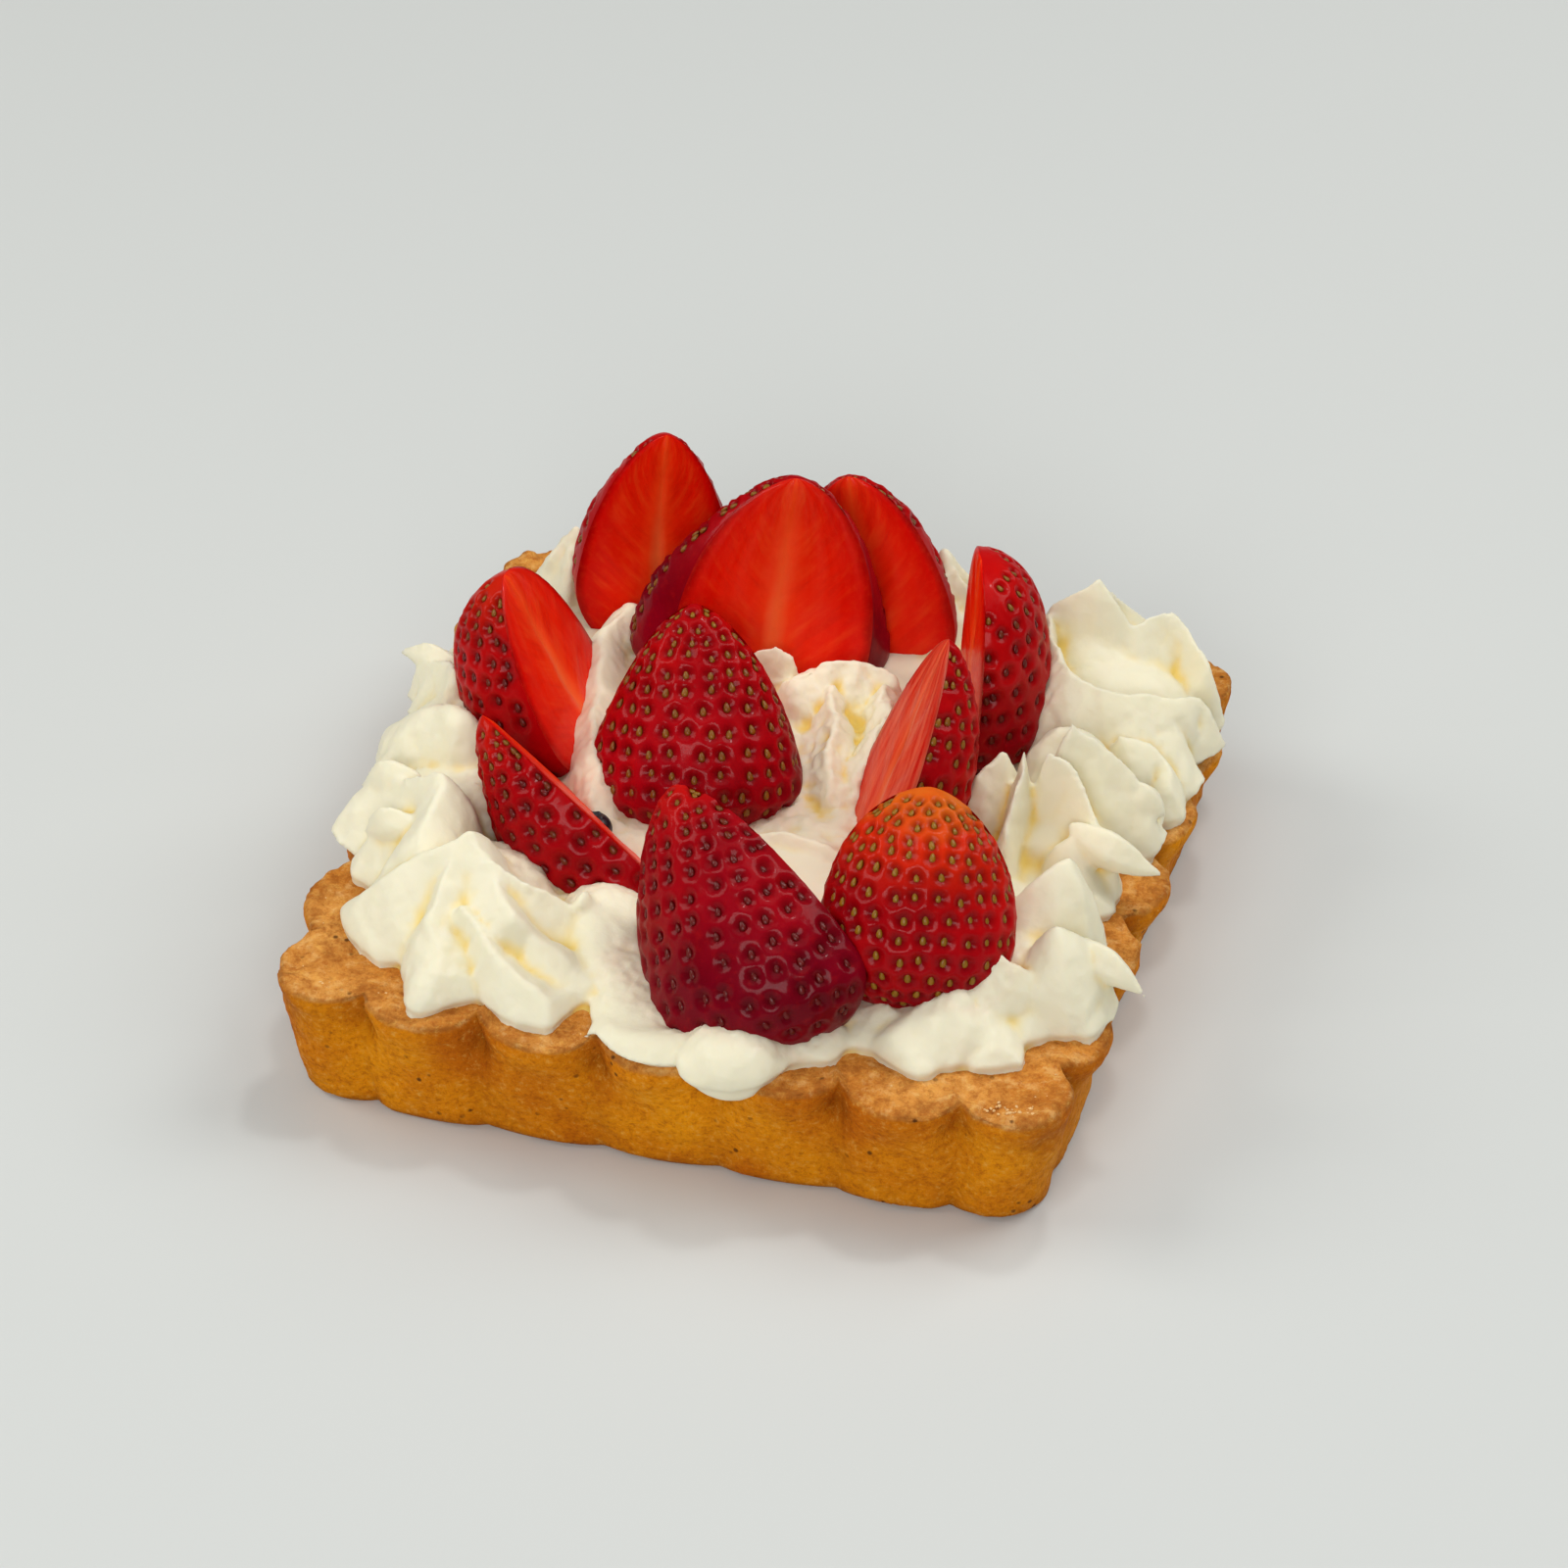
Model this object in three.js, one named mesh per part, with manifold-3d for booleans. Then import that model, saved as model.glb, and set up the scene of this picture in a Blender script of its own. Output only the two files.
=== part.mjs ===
// Square strawberry tart: a baked fluted crust, piped whipped cream, ten strawberry
// halves that stand point up round the middle, and one blueberry between two of them.
// Millimetres, +Z up, the origin at the centre of the flat underside, front towards -Y.
import * as THREE from 'three';
import { mergeVertices } from 'three/addons/utils/BufferGeometryUtils.js';
import Module from 'manifold-3d';

const wasm = await Module();
wasm.setup();

// Driving dimensions
const GAP = 0.3;            // clearance between neighbouring pieces
const SLIVER = 0.25;        // edges shorter than this are closed up

const CRUST_TOP = 18.6;     // level on which the cream lies
const FLUTE_PITCH = 15.92;  // from one scallop of the rim to the next
const SIDE_SCALLOPS = 5;    // scallops along a side, without the corners
const SCALLOP_RADIUS = 9.0;
const SCALLOP_CENTRE = 45.4; // distance of the side scallops' centres from the middle
const CORNER_RADIUS = 7.2;
const CORNER_CENTRE = 45.2;
const NOTCH_ROUNDING = 0.6;
const PLAIN_HALF = 52.4;    // half width and corner of the plain square that the wall's
const PLAIN_CORNER = 8;     // flutes fade to at the foot
const SIDE_FLUTES = 0.22;   // depth of the flutes low on the wall as a share of that at the
const CORNER_FLUTES = 0.45; // rim, along the sides and at the corners
const RIGHT_LEAN = 0.4;     // how much more the right-hand wall leans in than the others,
const RIGHT_FADE = 0.7;     // and how much of its low flutes are lost
const CORNER_FLARE = 0.35;  // how much more the wall leans in under the corners
const LEFT_DENT = [1.3, -26, 15]; // the left side lies in a little: depth, place, reach
const RIM_STEP = 2.65;      // distance between points round the rim

// wall and top of the crust: height, and how far in from the widest line
const CRUST_PROFILE = [
  [0, 3.1], [0.8, 2.4], [6, 1.7], [12, 0.9], [14.4, 0.45], [16.0, 0.15], [17.6, 0.25],
  [18.3, 1.2], [CRUST_TOP, 5.0],
];

const BERRY_SEGMENTS = 20;
const BERRY_RINGS = 11;
const BERRY_FLOOR = CRUST_TOP + GAP + 0.3; // the berries' trimmed ends stop here

// Each berry: the middle of its base and its tip, the compass angle that its cut
// face looks to, width, thickness of the skin side as a share of half the width,
// how far the cut lies past the middle at the base (as a share of half the width; it
// meets the middle at the tip), and the form of its outline (shoulder height,
// fullness, bluntness).
const BERRIES = {
  strawberry_back_left: {
    base: [-27.9, 36.9, 18], tip: [-24.5, 35.8, 52], face: -68,
    width: 23, depth: 0.9, cut: 0.3, form: [0.3, 1.4, 0.6],
  },
  strawberry_back_middle: {
    base: [-11, 28.2, 18], tip: [-4.5, 29.2, 53], face: -64,
    width: 36, depth: 0.6, cut: 0.5, form: [0.22, 1.45, 0.6],
  },
  strawberry_back_right: {
    base: [3.9, 39.3, 13.5], tip: [-0.5, 41, 46.4], face: -80,
    width: 26, depth: 0.85, cut: 0.35, form: [0.3, 1.5, 0.6],
  },
  strawberry_left: {
    base: [-27.6, 8.2, 18], tip: [-38.3, 7, 45.6], face: 5,
    width: 25, depth: 1.08, cut: 0.2, form: [0.3, 1.9, 0.55],
  },
  strawberry_right_back: {
    base: [21, 22.6, 18], tip: [22.4, 24.2, 48.2], face: 199,
    width: 26.5, depth: 0.78, cut: 0, form: [0.3, 2.6, 0.45],
  },
  strawberry_centre: {
    base: [-9.5, -0.8, 15.5], tip: [-13.2, 10.8, 43.4], face: 100,
    width: 29, depth: 0.85, cut: 0.1, form: [0.22, 1.4, 0.64],
  },
  strawberry_right: {
    base: [13.2, -6.2, 18], tip: [22.7, 5.9, 48], face: 208,
    width: 21.5, depth: 1.08, cut: 0, form: [0.3, 1.6, 0.65],
  },
  strawberry_left_front: {
    base: [-10, -13, 14.8], tip: [-34.7, -13.6, 38], face: 28,
    width: 27, depth: 1.06, cut: 0, form: [0.25, 1.6, 0.72],
  },
  strawberry_front: {
    base: [14.6, -40.7, 15], tip: [-4.3, -27.4, 43], face: 75,
    width: 33, depth: 0.8, cut: 0.1, form: [0.22, 1.45, 0.64],
  },
  strawberry_front_right: {
    base: [28, -33.4, 20], tip: [27.6, -21.4, 45], face: 100,
    width: 25, depth: 0.86, cut: 0.1, form: [0.3, 2.2, 0.6],
  },
};
// which berry is trimmed where it would press into a neighbour
const TRIMMED_BY = {
  strawberry_back_right: ['strawberry_back_middle'],
  strawberry_back_left: ['strawberry_back_middle'],
  strawberry_centre: ['strawberry_left_front'],
  strawberry_left_front: ['strawberry_front'],
  strawberry_front_right: ['strawberry_front'],
  strawberry_right: ['strawberry_front_right'],
};

const BLUEBERRY = { centre: [-20, -12.5, 21.7], radius: 2.3 };

// Cream
const LOBE_SEGMENTS = 12;
const LOBE_RINGS = 9;
const CREAM_TRIANGLES = 6100; // of the piped cream, before the berries are pressed in
const CREST = 0.25;         // how far a tip's crest stands up, as a share of its width

// Crest lines of the piped cream, by rosette. Each one: start, middle, end, how far its
// flank reaches on the left and on the right of the way out, and how sharp it is
const CRESTS = {
  front_left: [
    [[-30.6, -31.8, 33], [-39.6, -34.3, 29], [-44.2, -37.7, 23], 9, 4, 0.5],
    [[-31.1, -33.7, 31.5], [-34.3, -43.9, 26.3], [-29.3, -49.7, 23.6], 9, 4.2, 0.6],
    [[-28.5, -41.1, 28.6], [-22.5, -47.4, 25.2], [-14.8, -48.6, 22.6], 8, 3.2, 0.8],
    [[-27, -35.1, 31.5], [-20.5, -34.1, 29], [-15.7, -32.2, 24.6], 3.5, 6, 0.7],
    [[-19.2, -40.3, 26], [-14.6, -40.6, 24.4], [-12.6, -43.6, 22], 4, 4, 0.3],
    [[-30.6, -31.8, 33], [-26.9, -34.4, 31], [-22.2, -40.9, 29], 6, 6, 0.3],
  ],
  front_edge: [
    [[-15.4, -29.9, 25], [-9.8, -39.4, 23.4], [-4.7, -49, 21.4], 9, 4.6, 0.1],
    [[-6.1, -50.5, 21.6], [1.8, -51.8, 22.2], [9.6, -50, 22.2], 4, 3.6, 0.1],
    [[18.6, -41.4, 21.6], [18.8, -42.9, 21.2], [19.8, -46.3, 21], 3.4, 3.4, 0.3],
    [[9.6, -50, 22.2], [15.7, -46.9, 21.8], [20.3, -42.7, 21.4], 3.6, 3.6, 0.1],
    [[26.9, -38.9, 23.4], [24.9, -40.5, 22], [24.3, -42.7, 21.4], 4, 3.2, 0.5],
  ],
  front_right: [
    [[35.9, -37.1, 27], [30.9, -38.2, 24.4], [28.8, -43.8, 22.6], 6.5, 5, 0.5],
    [[33.7, -40.7, 24.4], [35.9, -40.8, 22.8], [36.5, -41.1, 21.8], 4, 4, 0.4],
    [[39.4, -32.2, 29.5], [44.5, -31.8, 26.4], [46, -34.1, 22.6], 3.2, 9, 0.8],
    [[38, -33.3, 28.5], [40, -37.1, 24.8], [41.3, -41.8, 22], 5, 4.5, 0.7],
    [[45.3, -27.3, 31.5], [49.8, -23.8, 28.5], [53.4, -24.8, 23.4], 3.6, 8.5, 0.5],
    [[47.2, -27.6, 28.5], [49.5, -28.3, 24.8], [49.8, -31.7, 22], 4, 5, 0.6],
    [[40, -21.2, 30], [42.6, -20.2, 34], [45.6, -17.9, 34.5], 4.5, 6, 0.3],
    [[45.7, -17.8, 34.5], [44.3, -20.6, 32], [43.8, -23.4, 28.5], 5, 5.5, 0.5],
    [[45.7, -17.8, 34.5], [47.5, -16.9, 32], [48.9, -19.1, 25.5], 3, 5.5, 0.6],
  ],
  right: [
    [[39.2, 6.8, 37.5], [45.3, 8.1, 33.5], [50.2, 7.7, 25.5], 3.2, 5.4, 0.8],
    [[37.4, 2.5, 36.5], [42.7, 2.4, 34.5], [46.9, -4.1, 25.5], 2.8, 3.4, 1],
    [[34.8, 2.7, 35.5], [34, -3.2, 32], [33.3, -7.2, 26.5], 2.6, 3, 1],
    [[31, 4.2, 33.5], [28.7, 1.1, 31], [27.1, -0.9, 27], 4, 4, 0.5],
    [[41.5, -4.7, 27.5], [44.6, -6.4, 25.4], [46, -8.1, 22], 4, 4, 0.5],
    [[37.6, 10.8, 33], [37.6, 6.9, 27], [38.4, 1.6, 23], 7, 7, 0],
  ],
  right_back: [
    [[29, 33.1, 35], [37.1, 13.8, 34.5], [49.3, 27.3, 30], 3.2, 8.5, 0.8],
    [[49.3, 27.3, 30], [52.6, 31.3, 28.5], [52.8, 26.5, 24.5], 3, 6, 0.6],
    [[35.6, 36.4, 40], [37.9, 35.1, 37.5], [40.7, 35.2, 33.5], 4.5, 4.5, 0.5],
    [[40.7, 35.2, 33.5], [46.6, 43.8, 35.5], [51.2, 36, 29.5], 2.5, 6.5, 0.7],
    [[35.6, 36.4, 40], [30.7, 36.6, 37], [28.5, 32.4, 33], 5, 5, 0.5],
    [[43.9, 16.7, 29], [49.6, 21.3, 27.5], [50.9, 15, 23.6], 2.8, 5.5, 0.7],
  ],
  left: [
    [[-37.8, -20.8, 33.5], [-45, -18.6, 29.5], [-50.3, -16.2, 25], 7, 2.8, 0.8],
    [[-36.9, -26.1, 31.5], [-42.5, -26.2, 28], [-46.9, -24.4, 24], 5.5, 2.8, 0.8],
    [[-41.9, -6.3, 33], [-48.1, -4.3, 30], [-51.2, -4.7, 26], 7, 6, 0.1],
    [[-37.8, -20.8, 33.5], [-37.7, -25.9, 32], [-37.7, -31.9, 30], 6, 6, 0.3],
  ],
  left_back: [
    [[-44.3, 3.6, 32], [-49.5, 8.5, 29.5], [-54.2, 11.5, 27.2], 3, 3.4, 0.9],
  ],
  middle: [
    [[-7.4, 18.4, 31], [-4.7, 19.5, 34], [-2.1, 20.9, 31], 4, 4, 0.9],
    [[-1.1, 17.3, 29.5], [4.3, 21.2, 33], [11.6, 21.9, 28.5], 5, 7, 0.6],
    [[11.2, 18.5, 29.5], [12.4, 8.1, 29], [10.6, 2.6, 24.5], 5, 5, 0.6],
    [[4, 16.4, 29.5], [6.1, 6.3, 29], [8.8, 1.5, 24], 5, 4.4, 0.7],
    [[0.4, -11.1, 24], [7.7, -12.1, 28.5], [15.4, -12.8, 24], 4.5, 6, 0.8],
    [[-28.4, 11.4, 26.5], [-21.8, -3.2, 28.5], [-21.4, -9.9, 24.5], 5, 5, 0.4],
    [[-28, 28, 29], [-29.2, 19.3, 29], [-27.4, 11, 27], 5, 5, 0.4],
  ],
};
// Tips that are drawn out past a rosette: start, middle, end, half width, how pointed,
// and how thick as a share of the width
const TIPS = [
  [[48.3, 8, 26.5], [50.4, 8, 25], [51.9, 8.3, 23.2], 2.5, 0.9, 1],
  [[45.2, -3.6, 27], [49.5, -5, 24.8], [54.8, -2.9, 22.6], 3.0, 0.9, 1],
  [[52.2, -26, 26], [55.2, -27.7, 24.2], [57.9, -28.1, 23], 2.2, 0.9, 1],
  [[48.7, 10.6, 25], [50.4, 10.3, 23], [51.5, 9.5, 21.6], 2.1, 0.9, 1],
  [[-45.1, -16.6, 28], [-48.9, -15.7, 25.4], [-51.5, -15.1, 24], 3.0, 0.9, 1],
  [[-42.6, -24.8, 27], [-45.9, -24.3, 24.6], [-48.3, -23.5, 23], 2.9, 0.9, 1],
  [[-49.7, 9.2, 29], [-53.4, 11.4, 27.4], [-55.9, 12.5, 26], 2.5, 0.9, 1],
  [[-15.8, -33.4, 25.5], [-15.4, -31.5, 24.6], [-15, -29.9, 23.8], 1.8, 0.9, 1],
  [[6, -43.5, 20.4], [10.8, -52.2, 22.6], [12.4, -54.8, 16.6], 9, 0, 0.42], // droops over the rim
];
// Rosettes at the back: middle, height of the peak, radius
const BACK_ROSETTES = [
  [-42, 17, 31, 12.5], [-41, 39, 33, 11.5], [-15, 45.5, 31, 10], [12, 45.5, 34, 10.5],
  [35.6, 37.5, 39, 14],
];
// Smooth mounds that carry the folds: middle, height, radius
const MOUNDS = [
  [-32, -31, 27, 13], [-39, -13, 27, 11], [-42, 3, 27, 10], [40, -25, 26.5, 11],
  [38, 5, 27, 10], [38, 32, 30, 13], [4, 13, 25, 14], [-24, 22, 25, 12], [8, -18, 25, 12],
  [28, -12, 25, 10], [22, 32, 26, 10],
];
const BED = { half: 40.5, top: 21.6 }; // the level cream between the rosettes
const CREAM_BASE = 18.2;    // where the flanks of the folds meet the crust
const BLEND = 0.3;          // how softly folds run into each other
const FIELD_STEP = 1.4;     // distance between points of the cream's surface
const FIELD_REACH = 62;
const OVERHANG = 1.6;       // how far the cream reaches past the rim at most
const RIDGE_STEPS = 16;
const RIDGE_END = 2.4;      // how far a ridge reaches past the foot of its crest

// Helpers
const V = (a) => new THREE.Vector3(a[0], a[1], a[2]);
const clamp = (v, lo, hi) => Math.min(hi, Math.max(lo, v));
const smooth = (v, lo, hi) => {
  const t = clamp((v - lo) / (hi - lo), 0, 1);
  return t * t * (3 - 2 * t);
};

function toSolid(geometry) {
  const g = geometry.clone();
  g.deleteAttribute('normal');
  g.deleteAttribute('uv');
  const m = mergeVertices(g, 1e-4);
  const p = m.getAttribute('position');
  const i = m.getIndex().array;
  const tri = [];
  for (let k = 0; k < i.length; k += 3) {
    if (i[k] !== i[k + 1] && i[k + 1] !== i[k + 2] && i[k] !== i[k + 2]) {
      tri.push(i[k], i[k + 1], i[k + 2]);
    }
  }
  const pos = new Float32Array(p.array);
  // six times the enclosed volume tells which way the faces point
  let six = 0;
  const a = new THREE.Vector3();
  const b = new THREE.Vector3();
  const c = new THREE.Vector3();
  for (let k = 0; k < tri.length; k += 3) {
    a.fromArray(pos, 3 * tri[k]);
    b.fromArray(pos, 3 * tri[k + 1]);
    c.fromArray(pos, 3 * tri[k + 2]);
    six += a.dot(b.cross(c));
  }
  if (six < 0) {
    for (let k = 0; k < tri.length; k += 3) {
      [tri[k], tri[k + 1]] = [tri[k + 1], tri[k]];
    }
  }
  const mesh = new wasm.Mesh({ numProp: 3, vertProperties: pos, triVerts: new Uint32Array(tri) });
  return new wasm.Manifold(mesh);
}

function toGeometry(solid) {
  const m = solid.getMesh();
  const g = new THREE.BufferGeometry();
  g.setAttribute('position', new THREE.BufferAttribute(new Float32Array(m.vertProperties), 3));
  g.setIndex(new THREE.BufferAttribute(new Uint32Array(m.triVerts), 1));
  g.computeVertexNormals();
  return g;
}

// The same surface with fewer triangles: joins the two ends of an edge wherever that
// changes the form least, and never where it would fold the surface over
function lighten(solid, target, longest) {
  const m = solid.getMesh();
  const pos = Float64Array.from(m.vertProperties);
  const tri = Array.from(m.triVerts);
  const count = tri.length / 3;
  const alive = new Uint8Array(count).fill(1);
  const around = Array.from({ length: pos.length / 3 }, () => new Set());
  const quadric = Array.from({ length: pos.length / 3 }, () => new Float64Array(10));
  const at = (i) => [pos[3 * i], pos[3 * i + 1], pos[3 * i + 2]];
  const sub = (a, b) => [a[0] - b[0], a[1] - b[1], a[2] - b[2]];
  const cross = (a, b) => [
    a[1] * b[2] - a[2] * b[1], a[2] * b[0] - a[0] * b[2], a[0] * b[1] - a[1] * b[0]];
  const dot = (a, b) => a[0] * b[0] + a[1] * b[1] + a[2] * b[2];
  const normal = (a, b, c) => cross(sub(b, a), sub(c, a));
  for (let f = 0; f < count; f += 1) {
    const ids = [tri[3 * f], tri[3 * f + 1], tri[3 * f + 2]];
    const n = normal(at(ids[0]), at(ids[1]), at(ids[2]));
    const len = Math.hypot(...n) || 1e-12;
    const [a, b, c] = n.map((v) => v / len);
    const d = -dot([a, b, c], at(ids[0]));
    const w = len / 2;
    const q = [a * a, a * b, a * c, a * d, b * b, b * c, b * d, c * c, c * d, d * d];
    for (const i of ids) {
      around[i].add(f);
      for (let k = 0; k < 10; k += 1) quadric[i][k] += w * q[k];
    }
  }
  const error = (q, [x, y, z]) => q[0] * x * x + 2 * q[1] * x * y + 2 * q[2] * x * z
    + 2 * q[3] * x + q[4] * y * y + 2 * q[5] * y * z + 2 * q[6] * y
    + q[7] * z * z + 2 * q[8] * z + q[9];
  const neighbours = (i) => {
    const s = new Set();
    for (const f of around[i]) {
      for (let k = 0; k < 3; k += 1) if (tri[3 * f + k] !== i) s.add(tri[3 * f + k]);
    }
    return s;
  };
  let left = count;
  for (let pass = 0; pass < 60 && left > target; pass += 1) {
    const edges = [];
    for (let f = 0; f < count; f += 1) {
      if (alive[f]) {
        for (let k = 0; k < 3; k += 1) {
          const u = tri[3 * f + k];
          const v = tri[3 * f + ((k + 1) % 3)];
          if (u < v) {
            const q = quadric[u].map((x, j) => x + quadric[v][j]);
            const pu = at(u);
            const pv = at(v);
            const long = Math.hypot(...sub(pu, pv));
            if (long < longest) {
              const options = [pu, pv, pu.map((x, j) => (x + pv[j]) / 2)];
              let best = options[0];
              let cost = Infinity;
              for (const o of options) {
                const e = error(q, o);
                if (e < cost) {
                  cost = e;
                  best = o;
                }
              }
              edges.push([cost + 1e-3 * long * long, u, v, best]);
            }
          }
        }
      }
    }
    edges.sort((a, b) => a[0] - b[0]);
    const touched = new Set();
    let joined = 0;
    const quota = Math.max(20, Math.ceil(edges.length * 0.06));
    for (const [, u, v, p] of edges) {
      if (left <= target || joined >= quota) break;
      if (touched.has(u) || touched.has(v)) continue;
      const nu = neighbours(u);
      const nv = neighbours(v);
      let common = 0;
      for (const i of nu) if (nv.has(i)) common += 1;
      if (common !== 2) continue;
      let ok = true;
      for (const i of [u, v]) {
        for (const f of around[i]) {
          const ids = [tri[3 * f], tri[3 * f + 1], tri[3 * f + 2]];
          if (ids.includes(u) && ids.includes(v)) continue;
          const before = normal(...ids.map(at));
          const after = normal(...ids.map((j) => (j === i ? p : at(j))));
          const size = Math.hypot(...before) * Math.hypot(...after);
          const least = Math.min(1e-4, 0.5 * Math.hypot(...before));
          if (dot(before, after) < 0.5 * size || Math.hypot(...after) < least) ok = false;
        }
      }
      if (!ok) continue;
      for (const f of [...around[v]]) {
        const ids = [tri[3 * f], tri[3 * f + 1], tri[3 * f + 2]];
        if (ids.includes(u)) {
          alive[f] = 0;
          left -= 1;
          for (const i of ids) around[i].delete(f);
        } else {
          tri[3 * f + ids.indexOf(v)] = u;
          around[u].add(f);
        }
      }
      around[v].clear();
      for (let k = 0; k < 10; k += 1) quadric[u][k] += quadric[v][k];
      [pos[3 * u], pos[3 * u + 1], pos[3 * u + 2]] = p;
      for (const i of nu) touched.add(i);
      for (const i of nv) touched.add(i);
      touched.add(u);
      joined += 1;
    }
    if (joined === 0) break;
  }
  const ids = new Map();
  const outPos = [];
  const outTri = [];
  for (let f = 0; f < count; f += 1) {
    if (alive[f]) {
      for (let k = 0; k < 3; k += 1) {
        const i = tri[3 * f + k];
        if (!ids.has(i)) {
          ids.set(i, outPos.length / 3);
          outPos.push(...at(i));
        }
        outTri.push(ids.get(i));
      }
    }
  }
  return new wasm.Manifold(new wasm.Mesh({
    numProp: 3, vertProperties: new Float32Array(outPos), triVerts: new Uint32Array(outTri) }));
}

function box(sx, sy, sz, centre, basis) {
  const g = new THREE.BoxGeometry(sx, sy, sz);
  const m = basis ? basis.clone() : new THREE.Matrix4();
  m.setPosition(centre);
  g.applyMatrix4(m);
  return toSolid(g);
}

// gentle unevenness of baked dough and of soft fruit
function ripple(x, y, z) {
  return Math.sin(0.31 * x + 1.3) * Math.sin(0.27 * y - 0.7)
    + 0.6 * Math.sin(0.53 * x - 0.41 * y + 0.35 * z)
    + 0.4 * Math.sin(0.83 * y + 0.6 * z + 2.1);
}

// Crust
function rimCircles() {
  const list = [];
  const half = (SIDE_SCALLOPS - 1) / 2;
  for (let quarter = 0; quarter < 4; quarter += 1) {
    const turn = (quarter * Math.PI) / 2;
    const place = (x, y, r) => list.push([
      x * Math.cos(turn) - y * Math.sin(turn), x * Math.sin(turn) + y * Math.cos(turn), r]);
    for (let k = -half; k <= half; k += 1) place(k * FLUTE_PITCH, -SCALLOP_CENTRE, SCALLOP_RADIUS);
    place(CORNER_CENTRE, -CORNER_CENTRE, CORNER_RADIUS);
  }
  return list;
}
const CIRCLES = rimCircles();

// distance from the middle to the rim in a direction, with the notches rounded
function rimDistance(dx, dy) {
  let best = 0;
  const hits = [];
  for (const [cx, cy, r] of CIRCLES) {
    const along = cx * dx + cy * dy;
    const disc = r * r - (cx * cx + cy * cy) + along * along;
    if (along > 0 && disc > 0) {
      const d = along + Math.sqrt(disc);
      hits.push(d);
      best = Math.max(best, d);
    }
  }
  let sum = 0;
  for (const d of hits) sum += Math.exp((d - best) / NOTCH_ROUNDING);
  return best + NOTCH_ROUNDING * Math.log(sum);
}

// the same for a plain square with round corners
function plainDistance(dx, dy) {
  const ax = Math.abs(dx);
  const ay = Math.abs(dy);
  const flat = PLAIN_HALF / Math.max(ax, ay);
  const c = PLAIN_HALF - PLAIN_CORNER;
  if (Math.min(ax, ay) * flat <= c) return flat;
  const along = c * (ax + ay);
  return along + Math.sqrt(PLAIN_CORNER * PLAIN_CORNER - 2 * c * c + along * along);
}

function crustGeometry(grow) {
  const side = 50;
  const steps = Math.round((2 * side) / RIM_STEP);
  const dirs = [];
  for (let q = 0; q < 4; q += 1) {
    const turn = (q * Math.PI) / 2;
    for (let k = 0; k < steps; k += 1) {
      const x = -side + (2 * side * k) / steps;
      const a = Math.atan2(-side, x) + turn;
      dirs.push([Math.cos(a), Math.sin(a)]);
    }
  }
  const n = dirs.length;
  const pos = [];
  const index = [];
  CRUST_PROFILE.forEach(([z, inset], level) => {
    for (const [dx, dy] of dirs) {
      const plain = plainDistance(dx, dy);
      const scallop = rimDistance(dx, dy);
      // the flutes run full depth at the rim and fade down the wall, less at the corners
      const square = Math.min(Math.abs(dx), Math.abs(dy)) / Math.max(Math.abs(dx), Math.abs(dy));
      const corner = clamp((square - 0.72) / 0.08, 0, 1);
      const right = clamp((dx - 0.6) / 0.15, 0, 1);
      const low = (SIDE_FLUTES + (CORNER_FLUTES - SIDE_FLUTES) * corner) * (1 - RIGHT_FADE * right);
      const share = low + (1 - low) * smooth(z, 9 + 2.5 * right, 16.8 + 0.3 * right);
      const rim = plain + share * (scallop - plain);
      const lean = z < 16 ? 1 + RIGHT_LEAN * Math.max(0, dx) + CORNER_FLARE * corner : 1;
      // between two scallops the lip stands up and the wall under it falls back
      const sx = scallop * dx;
      const sy = scallop * dy;
      const side0 = Math.max(Math.abs(sx), Math.abs(sy));
      const notch = clamp((53 - side0) / 2.8, 0, 1) * (1 - 0.3 * corner);
      const lip = (1.05 + 0.5 * Math.sin(0.9 * sx + 1.3 * sy)) * Math.pow(notch, 1.4);
      const niche = 1.1 * notch * Math.exp(-(((z - 14.6) / 2) ** 2));
      const crown = smooth(z, 16.6, 17.6) * (1 - smooth(inset, 0.9, 4.2));
      const soft = clamp(z, 0, 1) * clamp((8 - inset) / 3, 0, 1);
      const wander = 0.22 * soft * ripple(rim * dx, rim * dy, z);
      const [depth, place, reach] = LEFT_DENT;
      const dent = depth * clamp((-dx - 0.6) / 0.2, 0, 1) * Math.exp(-(((sy - place) / reach) ** 2));
      const d = rim - inset * lean - niche - dent + wander + 0.35 * lip * crown + grow;
      const up = level >= 6 ? grow : 0;
      pos.push(d * dx, d * dy, z + (lip + 0.5 * wander) * crown + up);
    }
  });
  for (let l = 0; l < CRUST_PROFILE.length - 1; l += 1) {
    for (let k = 0; k < n; k += 1) {
      const a = l * n + k;
      const b = l * n + ((k + 1) % n);
      index.push(a, b, b + n, a, b + n, a + n);
    }
  }
  const bottom = pos.length / 3;
  pos.push(0, 0, 0);
  const top = bottom + 1;
  pos.push(0, 0, CRUST_TOP + grow);
  const last = (CRUST_PROFILE.length - 1) * n;
  for (let k = 0; k < n; k += 1) {
    index.push(bottom, (k + 1) % n, k, top, last + k, last + ((k + 1) % n));
  }
  const g = new THREE.BufferGeometry();
  g.setAttribute('position', new THREE.Float32BufferAttribute(pos, 3));
  g.setIndex(index);
  return g;
}

// Strawberries
function outline(t, form) {
  const [shoulder, fullness, bluntness] = form;
  if (t < shoulder) {
    const d = (shoulder - t) / shoulder;
    return Math.sqrt(1 - 0.75 * d * d);
  }
  const s = (t - shoulder) / (1 - shoulder);
  return Math.pow(Math.max(0, 1 - Math.pow(s, fullness)), bluntness);
}

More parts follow.
